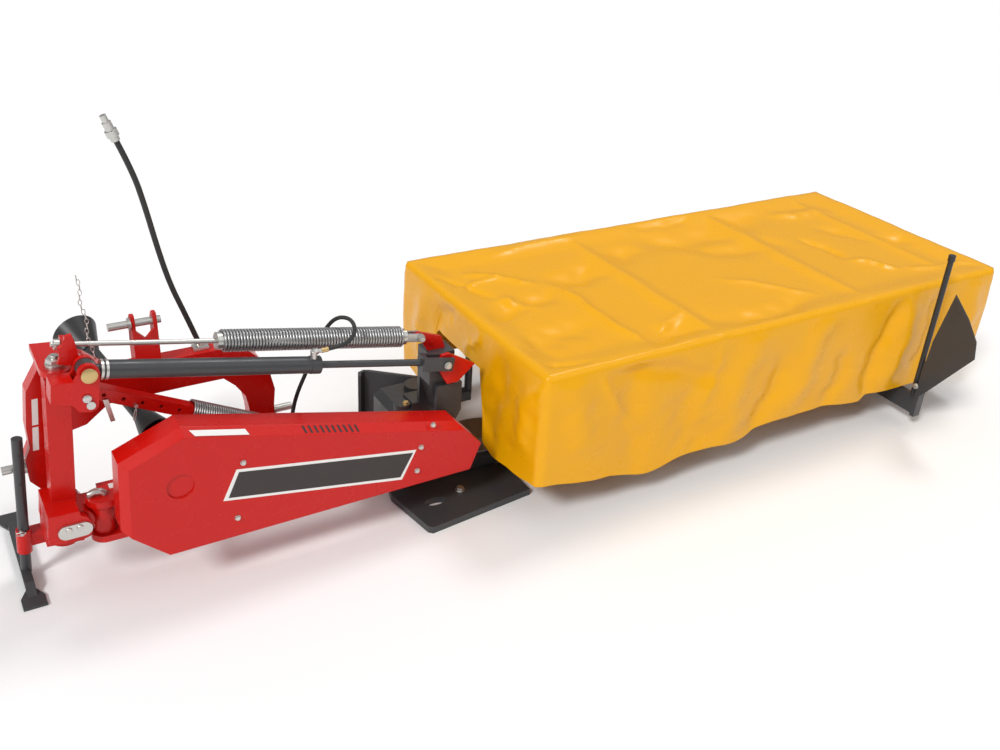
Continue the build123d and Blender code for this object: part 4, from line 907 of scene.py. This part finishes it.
def camera():
    """Camera at the photograph's place, with its turn and its field of view."""
    data = bpy.data.cameras.new("camera")
    obj = bpy.data.objects.new("camera", data)
    bpy.context.scene.collection.objects.link(obj)
    data.sensor_width = SENSOR_WIDTH
    data.lens = SENSOR_WIDTH * FOCAL_PIXELS / PICTURE_PIXELS
    data.clip_end = 200
    forward = Vector((math.sin(YAW) * math.cos(PITCH), math.cos(YAW) * math.cos(PITCH), -math.sin(PITCH)))
    right = Vector((math.cos(YAW), -math.sin(YAW), 0))
    down = forward.cross(right)
    right_rolled = right * math.cos(ROLL) + down * math.sin(ROLL)
    down_rolled = down * math.cos(ROLL) - right * math.sin(ROLL)
    turn = Matrix((right_rolled, -down_rolled, -forward)).transposed()
    obj.matrix_world = Matrix.Translation(at(*CAMERA_PLACE)) @ turn.to_4x4()
    bpy.context.scene.camera = obj


def sun(name, towards, strength, angle):
    """Far light that shines along a direction."""
    data = bpy.data.lights.new(name, "SUN")
    data.energy = strength
    data.angle = math.radians(angle)
    obj = bpy.data.objects.new(name, data)
    bpy.context.scene.collection.objects.link(obj)
    obj.location = at(1500, 0, 4000)
    obj.rotation_euler = Vector(towards).to_track_quat("-Z", "Y").to_euler()


def studio():
    """World behind and above the object."""
    scene = bpy.context.scene
    scene.view_settings.view_transform = "Standard"
    world = bpy.data.worlds.new("studio")
    scene.world = world
    world.use_nodes = True
    tree = world.node_tree
    tree.nodes.clear()
    out = tree.nodes.new("ShaderNodeOutputWorld")
    seen = tree.nodes.new("ShaderNodeBackground")
    seen.inputs["Color"].default_value = WHITE
    seen.inputs["Strength"].default_value = SEEN_STRENGTH
    lit = tree.nodes.new("ShaderNodeBackground")
    lit.inputs["Strength"].default_value = LIT_STRENGTH
    where = tree.nodes.new("ShaderNodeTexCoord")
    split = tree.nodes.new("ShaderNodeSeparateXYZ")
    ramp = tree.nodes.new("ShaderNodeValToRGB")
    ramp.color_ramp.elements[0].position = LOW_POSITION
    ramp.color_ramp.elements[0].color = LOW_GREY
    ramp.color_ramp.elements[1].position = HIGH_POSITION
    ramp.color_ramp.elements[1].color = WHITE
    half = tree.nodes.new("ShaderNodeMapRange")
    half.inputs["From Min"].default_value = -1
    path = tree.nodes.new("ShaderNodeLightPath")
    mix = tree.nodes.new("ShaderNodeMixShader")
    tree.links.new(where.outputs["Generated"], split.inputs["Vector"])
    tree.links.new(split.outputs["Z"], half.inputs["Value"])
    tree.links.new(half.outputs["Result"], ramp.inputs["Fac"])
    tree.links.new(ramp.outputs["Color"], lit.inputs["Color"])
    tree.links.new(path.outputs["Is Camera Ray"], mix.inputs["Fac"])
    tree.links.new(lit.outputs["Background"], mix.inputs[1])
    tree.links.new(seen.outputs["Background"], mix.inputs[2])
    tree.links.new(mix.outputs["Shader"], out.inputs["Surface"])


def floor():
    """Pale floor just below the skids."""
    size = FLOOR_HALF
    mesh = bpy.data.meshes.new("floor")
    corners = [(-size, -size, 0), (size, -size, 0), (size, size, 0), (-size, size, 0)]
    mesh.from_pydata(corners, [], [(0, 1, 2, 3)])
    mesh.materials.append(material("floor", (0.93, 0.93, 0.93), 0.85))
    obj = bpy.data.objects.new("floor", mesh)
    obj.location.z = FLOOR_Z
    bpy.context.scene.collection.objects.link(obj)


camera()
studio()
floor()
for row in SUNS:
    sun(*row)
